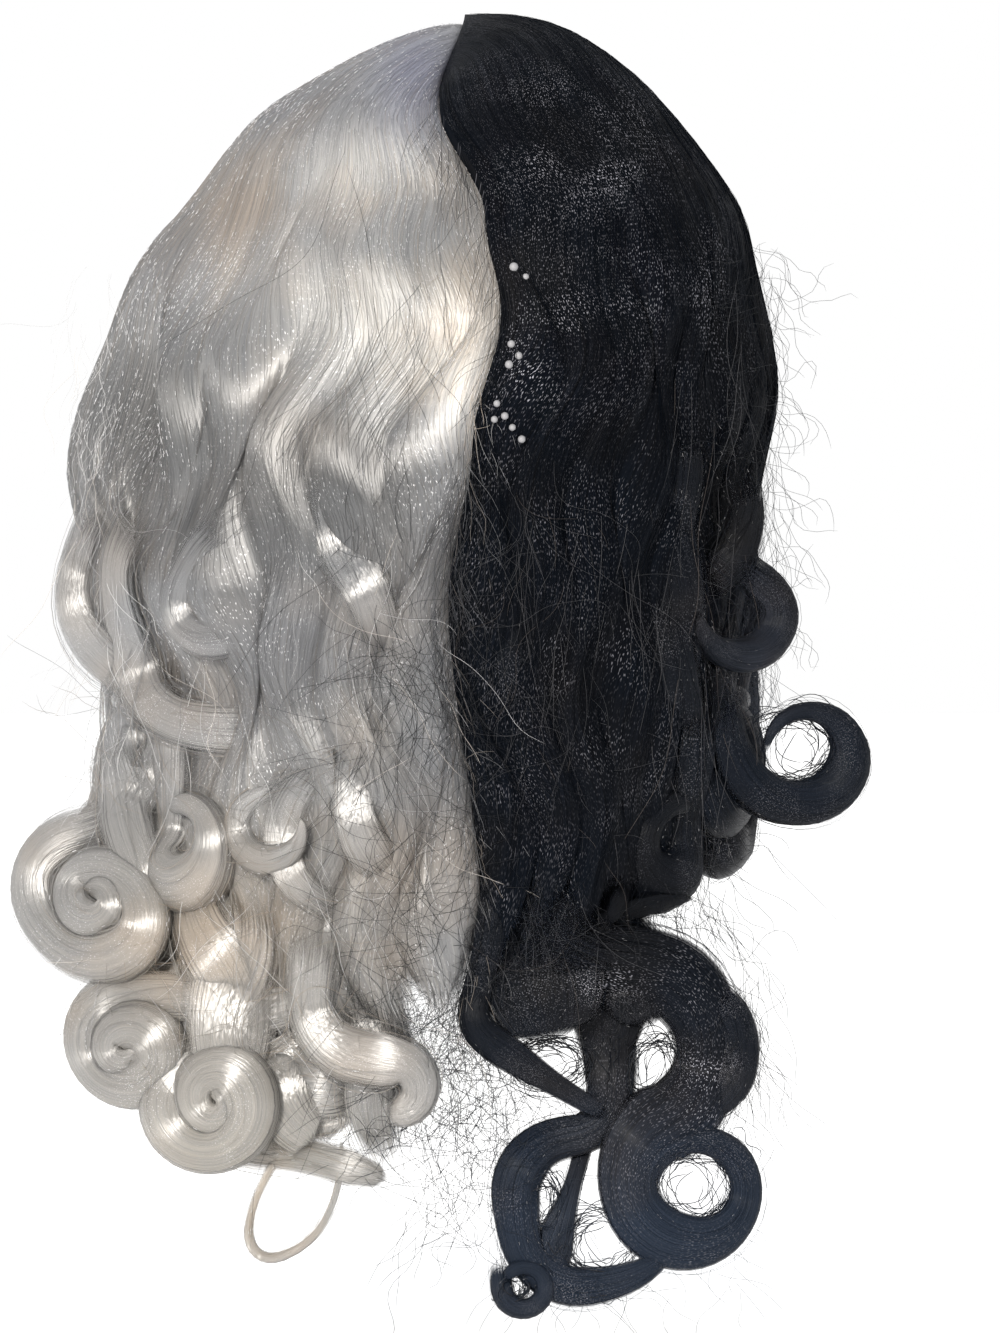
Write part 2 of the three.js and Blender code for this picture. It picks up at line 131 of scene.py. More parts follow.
# Locks seen from behind: where each leaves the mass, its heading in degrees from +X, its section, how far
# it stands off the mass, and its bends as (radius, sweep), to the left if positive. Some sink
# back into the mass at their end by merge, or thin to a tip of their own.
SILVER_LOCKS = [
    lock_row(-103, -34, -130, 17, 11, 0, (34, 75), (80, 25), merge=9, tip=0.8),
    lock_row(-88, -34, -125, 20, 8, 0.5, (50, 70), (26, 50), (90, 20), merge=11, tip=0.8),
    lock_row(-62, -40, -140, 14, 7, -1, (60, 25), (11, 170), (40, 20), merge=6, tip=0.8),
    lock_row(-91, -117, -115, 18, 14, 0, (30, -50), (19.5, 190), (12, 170), (6, 180), (3.6, 260), tip=0.8),
    lock_row(-97, -104, -95, 22, 11, 2, (60, 35), (30, -60), merge=9, tip=0.8),
    lock_row(-68, -184, 165, 20, 14, -4, (50, 35), (11.5, 190), (7, 200), (3.6, 260), tip=0.8),
    lock_row(-60, -198, 198, 20, 14, -2, (90, 11), (11.5, 280), (6, 200), (3.6, 260), tip=0.8),
    lock_row(-36, -160, -100, 19, 14, 0, (200, 6), (18, 79), (90, 8), (7, -190), tip=0.7),
    lock_row(-58, -227, -6, 15, 10, -11, (200, -13), tip=0.5),
    lock_row(-50, -226, -118, 3, 2.6, -12, (120, 10), (30, 18), (7, 108), (26, 50), (40, 32), tip=0.8),
    lock_row(-34, -113, -150, 14, 7, 0.5, (24, 130), (30, 12), merge=9, tip=0.8),
    lock_row(-21, -100, -118, 16, 7, -0.5, (40, 82), merge=8, tip=0.7),
    lock_row(-46, -119, 195, 10, 7, 0, (40, 15), (10, 260)),
    lock_row(-34, -28, -85, 18, 7, -0.5, (60, 30), (50, -40), merge=9, tip=0.8),
    lock_row(-60, -150, -76, 26, 14, -2, (40, -40), (36, 60), (40, -30), merge=9, tip=0.8),
    lock_row(-76, -140, -94, 26, 14, -3, (42, 44), (36, -60), (40, 36), merge=9, tip=0.8),
    lock_row(-28, -170, -60, 20, 12, -8, (60, -36), (60, 30), merge=9, tip=0.8),
    lock_row(-60, -190, -66, 30, 16, -10, (30, 66), (60, 14), merge=9, tip=0.8),
    lock_row(-108, -140, -90, 30, 8, -9, (200, -9), tip=0.9),
    lock_row(-92, -182, -95, 30, 8, -12, (200, 8), tip=0.9),
    lock_row(-72, -198, -88, 30, 8, -12, (200, 9), tip=0.9),
    lock_row(-52, -180, -100, 28, 10, -11, (60, 26), (34, 40), tip=0.7),
    lock_row(-40, -196, -84, 30, 9, -15, (200, 9), tip=0.7),
    lock_row(-22, -186, -78, 26, 9, -13, (200, 9), tip=0.6),
]
BLACK_LOCKS = [
    lock_row(18.6, -141, -96, 10.5, 10, 0, (250, -10), (10, 70), (300, 8), tip=0.6),
    lock_row(54, -172, -90, 15, 14, -5, (300, -8), (12, -70), (90, 4), (17, 78), (100, 6), (19, 85),
             (40, 40), tip=0.6),
    lock_row(18.7, -258, -91, 6.5, 8, -3, (400, 1.6), (6.2, 335), tip=0.7),
    lock_row(49, -214, -112, 6, 6, -7, (600, 5.2), tip=2.4, tip_from=0.4),
    lock_row(26, -147, -78, 25, 17, 0, (30, 66), (200, 3), (27, -82), (22, -63), (18, 68), (19, 95),
             (15, 160), (13, 110), tip=0.25, tip_from=0.42),
    lock_row(77, -180, -30, 14, 12, 3, (22, -75), (18, -70), merge=8, tip=0.7),
    lock_row(27, -138, -89, 40, 13, -4, (300, 11), tip=0.7),
    lock_row(55, -158, -82, 26, 12, -6, (200, 10), tip=0.6),
    lock_row(52, -178, -92, 24, 10, -7, (200, -10), tip=0.45, tip_from=0.1),
    lock_row(44, -163, 32, 6, 6, -4, (60, -28), (100, -4)),
    lock_row(62, -143, -130, 7, 6, -2, (200, 7)),
    lock_row(90, -28, -70, 17, 14, 0, (30, -72), merge=9, tip=0.8),
    lock_row(88, -50, -48, 13, 16, 0, (200, 4), (12.5, -225)),
    lock_row(84, -84, -80, 17, 15, 0, (300, 6), (17, 110), (13.5, 230), tip=0.2, tip_from=0.45),
    lock_row(30, 0, -88, 20, 8, -1.5, (110, -22), (110, 44), (110, -20), merge=9, tip=0.8),
    lock_row(56, 10, -88, 20, 8, -1.5, (120, 20), (110, -44), (110, 10), merge=9, tip=0.8),
    lock_row(74, 0, -84, 18, 8, -1.5, (120, -20), (110, 40), (110, -14), merge=9, tip=0.8),
]
# Locks that hang beside the face and round the sides, turned from the back about the head.
SIDE_LOCKS = table(
    "turn z swing length curl",
    (58, -66, 1, 54, 13),
    (76, -52, -1, 62, 13),
    (94, -44, 1, 70, 14),
    (111, -40, -1, 60, 12),
    (125, -4, 1, 84, 13),
    (50, -92, -1, 50, 11),
    (67, -84, 1, 48, 12),
    (85, -80, -1, 50, 11),
    (103, -76, 1, 52, 12),
    (119, -66, -1, 58, 11),
)
SIDE_LOCK = {"width": 21, "thick": 18, "wave": 34, "last_wave": 0.8, "curl_sweep": 300}
# Every lock is led out of the mass, narrow and flat, stands clear of it in a slow wave and thins to its tip.
LOCK = {
    "sink": 2.5, "rise": 4.0, "merging_rise": 1.5, "merge_from": 0.6, "leans_by": 0.5, "tip_share": 0.3,
    "tip_from": 0.62, "end": 0.1, "blunt": 1.02, "flat": 0.55, "edge": 1.5, "coil_edge": 1.0, "breadth": 0.1,
    "breadth_length": 47.0, "breadth_start": 1.7, "ease": 7, "least_stations": 10,
    "room": 0.9, "straight": 1e-4,
}
LEAD = {"length": 46, "sink": 3.0, "turn": 80.0, "narrow": 0.4, "flat": 0.1}
LOCK_WAVE = {"depth": 2.0, "length": 52.0}
# The bend in 1/mm from which a lock counts as a coil, and the length over which that eases.
COIL = {"from": 0.035, "full": 0.08, "soft": 15}

HALVES = {
    "silver": {
        "side": -1, "form": SILVER_FORM, "hem": SILVER_HEM, "conical": 1.24, "girth": -25.0,
        "locks": SILVER_LOCKS, "soft_from": 0.45, "puff": 0.0, "relief": 1.0,
    },
    "black": {
        "side": 1, "form": BLACK_FORM, "hem": BLACK_HEM, "conical": 0.8, "girth": 0.0,
        "locks": BLACK_LOCKS, "soft_from": 0.86, "puff": 3.2, "relief": 0.5,
    },
}


def smooth(low, high, at):
    """Eases from 0 at the low end to 1 at the high end."""
    share = np.clip((at - low) / (high - low), 0.0, 1.0)
    return share * share * (3.0 - 2.0 * share)


def between(first, last, share):
    """A share of the way from the first to the last."""
    return first + (last - first) * share


def unit(vectors):
    """Vectors brought to length 1."""
    return vectors / np.maximum(np.linalg.norm(vectors, axis=-1, keepdims=True), 1e-9)


def eased(values, span):
    """Running mean of values along a course."""
    return np.convolve(np.pad(values, span // 2, mode="edge"), np.ones(span) / span, mode="valid")


def column(table, key, at, name):
    """A named column of a table at places along its key, eased between the rows."""
    keys, values = np.asarray(table[key], float), np.asarray(table[name], float)
    row = np.clip(np.searchsorted(keys, at), 1, len(keys) - 1)
    return between(values[row - 1], values[row], smooth(keys[row - 1], keys[row], at))


def head_share(points, offset):
    """Share of the way out from the head's middle at which the head, grown by an offset, is met."""
    tall = np.where(points[..., 2] > 0, HEAD["crown"], HEAD["below_girth"]) + offset
    broad, long = HEAD["half_breadth"] + offset, HEAD["half_length"] + offset
    reach = np.stack(np.broadcast_arrays(broad, long, tall), -1)
    return 1.0 / np.linalg.norm(points / reach, axis=-1)


def mass_point(half, along, down, through=1.0):
    """A point of the combed mass: along the parting, down the hair, and through its depth to the outside."""
    along, down = np.broadcast_arrays(np.asarray(along, float), np.asarray(down, float))
    turn = np.clip(along, 0, 1) * math.radians(FRONT_EDGE_ANGLE)
    tilt = np.radians(between(PARTING["back_angle"], PARTING["front_angle"], along))
    root_y, root_z = PARTING["reach"] * np.sin(tilt), PARTING["top"] * np.cos(tilt)
    hem = column(half["hem"], "along", along, "z")
    hem = hem + sum(deep * np.sin(often * along + deep) for often, deep in RAGGED)
    arc = np.minimum(down / MASS["crown_share"], 1.0) * math.pi / 2
    hang = np.maximum((down - MASS["crown_share"]) / (1 - MASS["crown_share"]), 0.0)
    z = between(half["girth"] + (root_z - half["girth"]) * np.cos(arc), hem, hang)
    level = np.minimum(z, half["girth"])
    wide, back, front = (column(half["form"], "z", level, name) for name in ("half", "back", "front"))
    spread = np.sin(arc) ** half["conical"]
    x = half["side"] * wide * np.sin(turn) * spread
    y = between(root_y, -np.where(np.cos(turn) > 0, back, front) * np.cos(turn), np.sin(arc))
    x = x + column(SEAM, "z", z, "x") * (1 - spread * smooth(0, MASS["seam_share"], along))
    outer = np.stack((x, y, z), -1)
    on_head = head_share(outer, HAIR_OFF_HEAD)
    least = MASS["least_thick"] / np.linalg.norm(outer, axis=-1)
    outer = outer * np.maximum(on_head + least, 1.0)[..., None]
    in_cap = outer * head_share(outer, HAIR_OFF_HEAD)[..., None]
    inner = outer.copy()
    inner[..., :2] *= (1 - MASS["hang_thick"] / np.hypot(outer[..., 0], outer[..., 1]))[..., None]
    hugging = smooth(MASS["clear_of_head"], MASS["leaves_head"], z)[..., None]
    return between(between(inner, in_cap, hugging), outer, through)


def waved(along, down):
    """Waves and parted locks at places on the mass: shift along it, lift off it and drop below its hem."""
    drift = sum(row["much"] * np.sin(row["often"] * along + row["start"]) for row in WAVE_DRIFT)
    phase = 2 * math.pi * (WAVES["per_length"] * down + WAVES["drift"] * drift)
    grown = smooth(WAVES["from"], WAVES["full"], down)
    inside = smooth(0, WAVES["edge"], along) * smooth(0, WAVES["edge"], 1 - along)
    swell = SWELLS["depth"] * smooth(SWELLS["from"], SWELLS["full"], down)
    for often_along, often_down in (SWELLS["first"], SWELLS["second"]):
        swell = swell * np.sin(2 * math.pi * (often_along * along + often_down * down))
    crest = np.abs(np.sin(math.pi * PARTED["count"] * along)) ** PARTED["crest"] - PARTED["middle"]
    uneven = PARTED["uneven"] * np.sin(PARTED["uneven_along"] * along + PARTED["uneven_down"] * down)
    crest = crest * (1 + uneven) * smooth(PARTED["from"], PARTED["full"], down)
    lift = WAVES["depth"] * grown * np.sin(phase) + swell + PARTED["depth"] * crest
    drop = PARTED["drop"] * crest * smooth(PARTED["drop_from"], 1.0, down)
    return WAVES["aside"] * grown * inside * np.cos(phase), lift, drop


def outward(half, points):
    """Outward direction of the combed mass at points on it."""
    level = np.clip(points[..., 2], half["form"]["z"][0], half["girth"])
    wide, back = (column(half["form"], "z", level, name) for name in ("half", "back"))
    rise = np.maximum(points[..., 2] - half["girth"], 0) / (PARTING["top"] - half["girth"]) ** 2
    return unit(np.stack((points[..., 0] / wide**2, points[..., 1] / back**2, rise), -1))


def combed_course(half, along, down):
    """Places down the mass that ride on its waves, and the outward direction at each."""
    aside, lift, drop = waved(along, down)
    lift = half["relief"] * lift + half["puff"] * (1 - smooth(PUFF["full"], PUFF["gone"], down))
    places = mass_point(half, np.clip(along + aside, 0, 1), down + drop)
    out = outward(half, places)
    return places + out * lift[..., None], out


def place_on_form(half, x, z, lift, turn=0, leaning=ROUND_THE_EDGE["on_mass"]):
    """Places seen from behind set on a half's outside and lifted off it, then turned about the head."""
    level = np.clip(z, FREE_HANG["to"], half["girth"])
    wide, back, front = (column(half["form"], "z", level, name) for name in ("half", "back", "front"))
    climb = np.clip((z - half["girth"]) / (PARTING["top"] - half["girth"]), 0, ROUND_THE_EDGE["top"])
    dome = np.sqrt(1 - climb**2)
    free = 1 - smooth(FREE_HANG["to"], FREE_HANG["from"], z)
    span, deep = between(wide, FREE_HANG["half"], free) * dome, back * dome
    most, firm = ROUND_THE_EDGE["most"], ROUND_THE_EDGE["firm"]
    across = x / span
    across = across / (1 + np.abs(across / most) ** firm) ** (1 / firm)
    lean = across * leaning
    normal = unit(np.stack((lean / span, -np.sqrt(1 - lean**2) / deep, np.zeros_like(z)), -1))
    place = np.stack((x, -deep * np.sqrt(1 - across**2), z), -1) + normal * np.asarray(lift)[..., None]
    if not turn:
        return place, normal
    angle = half["side"] * math.radians(turn)
    reach = back if math.cos(angle) > 0 else front
    fit = 1 / np.hypot(math.sin(angle) / wide, math.cos(angle) / reach) / back
    cos, sin = math.cos(angle), math.sin(angle)
    spin = np.array([[cos, sin, 0], [-sin, cos, 0], [0, 0, 1]])
    place[..., :2] *= fit[..., None]
    return place @ spin, normal @ spin


def lock_course(lock, step):
    """A lock's course seen from behind, led out of the mass, with its stations closer in tight bends."""
    lead = LEAD["length"]
    lead_turn = (lock["heading"] + 270) % 360 - 180
    lead_turn = math.radians(np.clip(lead_turn, -LEAD["turn"], LEAD["turn"]))
    bends = [(lead, lead_turn / lead)]
    for radius, sweep in lock["bends"]:
        bends.append((abs(math.radians(sweep)) * radius, math.copysign(1 / radius, sweep)))
    curve = np.concatenate([np.full(max(int(round(length)), 2), bend) for length, bend in bends])
    curve = eased(curve, LOCK["ease"])
    turn = np.cumsum(curve)
    turn += math.radians(lock["heading"]) - turn[lead]
    x, z = np.cumsum(np.cos(turn)), np.cumsum(np.sin(turn))
    x, z = x - x[lead] + lock["x"], z - z[lead] + lock["z"]
    coil = eased(smooth(COIL["from"], COIL["full"], np.abs(curve)), COIL["soft"])
    crowd = np.cumsum(1 / step + np.abs(curve) / math.radians(CROWD_ANGLE))
    count, every = max(int(crowd[-1]), LOCK["least_stations"]), np.arange(len(x))
    gone = np.interp(np.linspace(crowd[0], crowd[-1], count), crowd, every)
    course = {"x": x, "z": z, "bend": curve, "coil": coil}
    course = {key: np.interp(gone, every, values) for key, values in course.items()}
    course["gone"] = gone
    course["share"] = np.clip((gone - lead) / (len(every) - 1 - lead), 0, 1)
    course["led"] = smooth(0, 1, np.clip(1 - gone / lead, 0, 1))
    return course


def lock_run(half, lock, step):
    """A lock's run from inside the mass to its tip: places, sides and half sizes at its stations."""
    course = lock_course(lock, step)
    gone, share, led, coil = (course[key] for key in ("gone", "share", "led", "coil"))
    wave = LOCK_WAVE["depth"] * np.sin(2 * math.pi * gone / LOCK_WAVE["length"] + lock["x"]) * (1 - coil)
    rise = LOCK["merging_rise"] if "merge" in lock else LOCK["rise"]
    lift = lock["lift"] + between(-LOCK["sink"], rise, share) - LEAD["sink"] * led + wave
    lift = lift - lock.get("merge", 0) * smooth(LOCK["merge_from"], 1.0, share)
    leaning = between(ROUND_THE_EDGE["on_mass"], ROUND_THE_EDGE["lean"], smooth(0, LOCK["leans_by"], share))
    place, normal = place_on_form(half, course["x"], course["z"], lift, lock.get("turn", 0), leaning)
    tip, tip_from = lock.get("tip", LOCK["tip_share"]), lock.get("tip_from", LOCK["tip_from"])
    slim = between(1.0, tip, smooth(tip_from, 1.0, share))
    slim = slim * np.sqrt(LOCK["blunt"] - np.clip((share - 1 + LOCK["end"]) / LOCK["end"], 0, 1) ** 2)
    breadth = np.sin(2 * math.pi * gone / LOCK["breadth_length"] + LOCK["breadth_start"] * lock["x"])
    slim = slim * (1 + LOCK["breadth"] * breadth)
    flat = between(1.0, LEAD["flat"], led) * between(LOCK["flat"], 1.0, coil)
    ahead = unit(np.gradient(place, axis=0))
    across = unit(np.cross(ahead, normal))
    return {
        "place": place,
        "across": across,
        "normal": unit(np.cross(across, ahead)),
        "half_width": lock["width"] / 2 * slim * between(1.0, LEAD["narrow"], led),
        "half_thick": lock["thick"] / 2 * slim * flat,
        "edge": between(LOCK["edge"], LOCK["coil_edge"], coil),
        "bend": course["bend"],
        "share": share,
        "coil": coil,
    }


def on_lock(run, angle, swell):
    """Places round a lock's section: a lens where it is flat, fuller in a coil, short of a bend's middle."""
    across = np.cos(angle) * run["half_width"] * swell
    out = np.sign(np.sin(angle)) * np.abs(np.sin(angle)) ** run["edge"] * run["half_thick"] * swell
    room = LOCK["room"] / np.maximum(np.abs(run["bend"]), LOCK["straight"])
    inner = np.sign(run["bend"]) * across < 0
    across = np.where(inner, room * np.tanh(across / room), across)
    return run["place"] + run["across"] * across[..., None] + run["normal"] * out[..., None]


def side_lock(half, row):
    """A lock at the side: a wave that ends in a ring."""
    sweep = row["swing"] * half["side"] * math.degrees(row["length"] / 3 / SIDE_LOCK["wave"])
    wave = SIDE_LOCK["wave"]
    return lock_row(
        0, row["z"], -90 - sweep / 2, SIDE_LOCK["width"], SIDE_LOCK["thick"], 0,
        (wave, sweep), (wave, -sweep), (wave, sweep * SIDE_LOCK["last_wave"]),
        (row["curl"], math.copysign(SIDE_LOCK["curl_sweep"], sweep)), turn=row["turn"],
    )


def all_locks(half):
    """The locks of a half, those at its side last."""
    return half["locks"] + [side_lock(half, row) for row in SIDE_LOCKS]


# Soft patches of painted light and shade on the fibre's colour, as seen from behind: painted shade, painted
# highlights, painted sheen and painted backlight, and the black lighter at its lowest curls and right edge.
TONE_AND_PAINTED_LIGHT = {
    "silver": table(
        "x z wide tall gain",
        # Painted shade: at the left side and in the middle below the crown.
        (-86, -12, 32, 34, (0.18, 0.19, 0.2)),
        (-30, -34, 36, 22, (0.15, 0.16, 0.18)),
        # Painted highlights: the band across the crown, by the seam, above it and at the upper left.
        (-18, 14, 34, 20, (1.6, 1.55, 1.45)),
        (6, -6, 10, 18, (3.0, 2.9, 2.75)),
        (-24, 62, 18, 13, (2.5, 2.4, 2.25)),
        (-64, 56, 13, 16, (1.1, 1.0, 0.9)),
        (-70, 30, 18, 9, (1.5, 1.48, 1.45)),
        # Painted bluish sheen beside the parting.
        (-6, 94, 13, 18, (0.85, 0.87, 1.15)),
        # Painted shade: on the crown, at the upper left edge, by the seam below and over the middle.
        (-44, 88, 30, 12, (0.75, 0.75, 0.77)),
        (-88, 52, 12, 24, (0.7, 0.68, 0.68)),
        (2, -90, 16, 66, (0.62, 0.63, 0.66)),
        (-50, -84, 26, 24, (0.68, 0.68, 0.7)),
        (-60, -50, 16, 18, (0.55, 0.56, 0.58)),
        (-40, -62, 50, 30, (0.72, 0.73, 0.75)),
        # Painted backlight: the lowest curls lighter and warmer.
        (-70, -170, 60, 50, (1.26, 1.14, 0.97)),
        (-60, -236, 60, 30, (1.38, 1.28, 1.1)),
    ),
    "black": table(
        "x z wide tall gain",
        # The black lighter at its lowest curls and at its right edge.
        (60, -250, 90, 42, (5.6, 5.5, 5.4)),
        (110, -110, 30, 30, (2.2, 2.2, 2.2)),
        # Painted brownish sheen on two curls at the right.
        (92, -68, 12, 14, (4.0, 3.4, 3.0)),
        (99, -91, 9, 9, (4.0, 3.4, 3.0)),
    ),
}


def patch_share(places, patch):
    """How far places lie inside a soft patch: 1 in its middle, fading to 0 around it."""
    across, up = (places[..., 0] - patch["x"]) / patch["wide"], (places[..., 2] - patch["z"]) / patch["tall"]
    return np.exp(-(across**2 + up**2))


def tone_and_painted_light_at(colour, places):
    """Gain on the fibre's colour at places on the wig: the painted light and shade and the tone of the
    patches.
    """
    gain = np.ones(places.shape)
    for patch in TONE_AND_PAINTED_LIGHT[colour]:
        gain = gain * between(1.0, np.array(patch["gain"]), patch_share(places, patch)[..., None])
    return gain


# Where the painted glints crowd, as seen from behind, and the least of them elsewhere: bright dashes painted
# into the colour as highlights of single fibres.
PAINTED_GLINT_PATCHES = {
    "silver": {"least": 0.5, "patches": table(
        "x z wide tall",
        (-70, 30, 34, 36),
        (-96, -10, 18, 30),
        (-26, 20, 36, 44),
        (0, -40, 20, 30),
        (-60, -100, 60, 50),
        (-80, -190, 60, 60),
    )},
    "black": {"least": 0.2, "patches": table(
        "x z wide tall",
        (50, 29, 22, 10),
        (82, 28, 9, 20),
        (46, 70, 28, 24),
        (30, 10, 11, 18),
        (20, -14, 8, 16),
        (80, -200, 9, 22),
        (48, -178, 9, 7),
        (50, -272, 24, 8),
    )},
}


def painted_glint_share_at(colour, places):
    """Share of the painted glints that show at places on the wig."""
    glow = np.full(places.shape[:-1], PAINTED_GLINT_PATCHES[colour]["least"])
    for patch in PAINTED_GLINT_PATCHES[colour]["patches"]:
        glow = np.maximum(glow, patch_share(places, patch))
    return glow


def paint_layers(bm):
    """The layers that a body of hair carries: its tone with painted light and shade, its cover and its
    painted glints.
    """
    layers = bm.verts.layers
    return layers.float_color.new("tone"), layers.float.new("cover"), layers.float.new("glow")


def lay_hair(grid, layers, colour, made, cover):
    """Puts the points of a grid in place and paints them: tone with painted light and shade, cover and
    painted glints.
    """
    tone_and_light_layer, covers, painted_glint_layer = layers
    painted = zip(grid, made * MM, tone_and_painted_light_at(colour, made), cover, painted_glint_share_at(colour, made))
    for vert, place, tone, share, glow in painted:
        vert.co = place
        vert[tone_and_light_layer] = (*tone, 1.0)
        vert[covers] = share
        vert[painted_glint_layer] = glow


def piece(name, mesh, material):
    """A finished piece of the wig, riding with it."""
    made = bpy.data.objects.new(name, mesh)
    bpy.context.scene.collection.objects.link(made)
    mesh.materials.append(material)
    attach(made, "root")
    return made


def mesh_from(bm, name):
    """A smooth mesh from what was modelled."""
    for face in bm.faces:
        face.smooth = True
    mesh = bpy.data.meshes.new(name)
    bm.to_mesh(mesh)
    bm.free()
    return mesh


# The sheets of the mass: their grid, how the inner one closes on the outer one towards the hem, and how much
# of the hair's length thins out at the hem, by the seam and away from it.
MASS_GRID = {
    "across": 168, "down": 84, "thin_from": 0.86, "thin": 0.85, "hem": 0.045, "seam_hem": 0.12,
    "off_seam": (0.05, 0.25),
}


def combed_mass(name, colour, half):
    """The combed mass of one half: an inner and an outer sheet of hair, joined along their edges."""
    bm = bmesh.new()
    bm.loops.layers.uv.verify()
    layers = paint_layers(bm)
    rims = []
    for outside in (False, True):
        grid = bmesh.ops.create_grid(
            bm, x_segments=MASS_GRID["across"], y_segments=MASS_GRID["down"], size=0.5, calc_uvs=True
        )["verts"]
        flat = np.array([v.co[:2] for v in grid])
        along, down = flat[:, 0] + 0.5, 0.5 - flat[:, 1]
        made = combed_course(half, along, down)[0]
        if not outside:
            closing = MASS_GRID["thin"] * smooth(MASS_GRID["thin_from"], 1, down)[:, None]
            made = between(mass_point(half, along, down, 0), made, closing)
        ragged = between(MASS_GRID["seam_hem"], MASS_GRID["hem"], smooth(*MASS_GRID["off_seam"], along))
        lay_hair(grid, layers, colour, made, smooth(0, ragged, 1 - down))
        own = set(grid)
        rims += [e for e in bm.edges if e.is_boundary and e.verts[0] in own]
    bmesh.ops.bridge_loops(bm, edges=rims)
    bmesh.ops.recalc_face_normals(bm, faces=bm.faces)
    return mesh_from(bm, name)


LOCK_GRID = {"round": 16, "step": 4.0, "swell": 0.95, "groove_turn": 6.3, "groove_drift": 1.5}
# Grooves along a lock: how many round it, and how deep as a share of its size.
GROOVES = ((5, 0.02), (9, 0.02), (14, 0.015))
# How a lock thins out over its lead and its tip, and the cover it keeps: at most where it lies flat, and at
# least at the edge of a coil. Locks that lie deep keep their leads whole.
THINS = {"lead": 0.22, "tip": 0.06, "merged": 0.3, "flat": 0.55, "coil_edge": 0.35, "deep": -4.0}


def lock_bodies(name, colour, half, locks, seed):
    """The bodies of all locks of one half, each a grooved tube drawn out to its tip."""
    rng = np.random.default_rng(seed)
    bm = bmesh.new()
    bm.loops.layers.uv.verify()
    layers = paint_layers(bm)
    for lock in locks:
        run = lock_run(half, lock, LOCK_GRID["step"])
        steps = len(run["share"]) - 1
        grid = bmesh.ops.create_grid(
            bm, x_segments=LOCK_GRID["round"], y_segments=steps, size=0.5, calc_uvs=True
        )["verts"]
        flat = np.array([v.co[:2] for v in grid])
        station = np.rint((flat[:, 1] + 0.5) * steps).astype(int)
        angle = (flat[:, 0] + 0.5) * 2 * math.pi
        run = {key: values[station] for key, values in run.items()}
        share, coil = run["share"], run["coil"]
        swell = np.full(len(angle), LOCK_GRID["swell"])
        for count, depth in GROOVES:
            drift = rng.uniform(-LOCK_GRID["groove_drift"], LOCK_GRID["groove_drift"]) * share
            swell += depth * np.sin(count * angle + rng.uniform(0, LOCK_GRID["groove_turn"]) + drift)
        cover = 1 - smooth(half["soft_from"], 1.0, np.abs(np.cos(angle)))
        cover = np.maximum(cover * between(THINS["flat"], 1.0, coil), coil * THINS["coil_edge"])
        if lock["lift"] > THINS["deep"]:
            cover = cover * smooth(0, THINS["lead"], share)
        cover = cover * smooth(0, THINS["merged" if "merge" in lock else "tip"], 1 - share)
        lay_hair(grid, layers, colour, on_lock(run, angle, swell), cover)
    bmesh.ops.remove_doubles(bm, verts=bm.verts, dist=1e-6)
    bmesh.ops.holes_fill(bm, edges=[e for e in bm.edges if e.is_boundary], sides=LOCK_GRID["round"] + 1)
    bmesh.ops.recalc_face_normals(bm, faces=bm.faces)
    return mesh_from(bm, name)


# A strand's section: a ridge over a flat back, as shares of its half depth and half width.
STRAND_OUT = np.array((1.0, -0.5, -0.5))
STRAND_ASIDE = np.array((0.0, 1.0, -1.0))
STRAND_WIDTH = 0.87


def strand_mesh(name, bundles):
    """One mesh of many closed strands.

    A bundle holds their paths, outward sides, half widths, half depths and colours.
    """
    places, colours, quads, ends = [], [], [], []
    first, sides = 0, len(STRAND_OUT)
    for paths, outs, wide, deep, colour in bundles:
        count, steps = paths.shape[:2]
        ahead = unit(np.gradient(paths, axis=1))
        out = unit(outs - ahead * np.sum(outs * ahead, -1, keepdims=True))
        beside = np.cross(ahead, out) * wide[..., None]
        out = out * deep[..., None]
        ring = out[:, :, None] * STRAND_OUT[:, None] + beside[:, :, None] * STRAND_ASIDE[:, None]
        places.append((paths[:, :, None] + ring).reshape(-1, 3))
        colours.append(np.repeat(colour.reshape(-1, 3), sides, axis=0))
        index = first + np.arange(count * steps * sides).reshape(count, steps, sides)
        beyond = np.roll(index, -1, axis=2)
        walls = np.stack((index[:, :-1], beyond[:, :-1], beyond[:, 1:], index[:, 1:]), -1)
        quads.append(walls.reshape(-1, 4))
        ends += [index[:, 0, ::-1], index[:, -1]]
        first += index.size
    places, colours = np.concatenate(places) * MM, np.concatenate(colours)
    quads, ends = np.concatenate(quads), np.concatenate(ends)
    mesh = bpy.data.meshes.new(name)
    mesh.vertices.add(len(places))
    mesh.vertices.foreach_set("co", places.astype(np.float32).ravel())
    corners = np.concatenate((quads.ravel(), ends.ravel()))
    mesh.loops.add(len(corners))
    mesh.loops.foreach_set("vertex_index", corners.astype(np.int32))
    starts = np.concatenate((np.arange(len(quads)) * 4, len(quads) * 4 + np.arange(len(ends)) * sides))
    mesh.polygons.add(len(starts))
    mesh.polygons.foreach_set("loop_start", starts.astype(np.int32))
    mesh.polygons.foreach_set("use_smooth", np.ones(len(starts), bool))
    mesh.update(calc_edges=True)
    paint = mesh.attributes.new("fibre", "FLOAT_COLOR", "POINT")
    paint.data.foreach_set("color", np.c_[colours, np.ones(len(colours))].astype(np.float32).ravel())
    return mesh


def strand_piece(name, bundles, material):
    """A finished piece made of strands."""
    return piece(name, strand_mesh(name, bundles), material)


def round_strands(paths, outs, radius, colour):
    """A bundle of fine round fibres."""
    return paths, outs, STRAND_WIDTH * radius, radius, colour


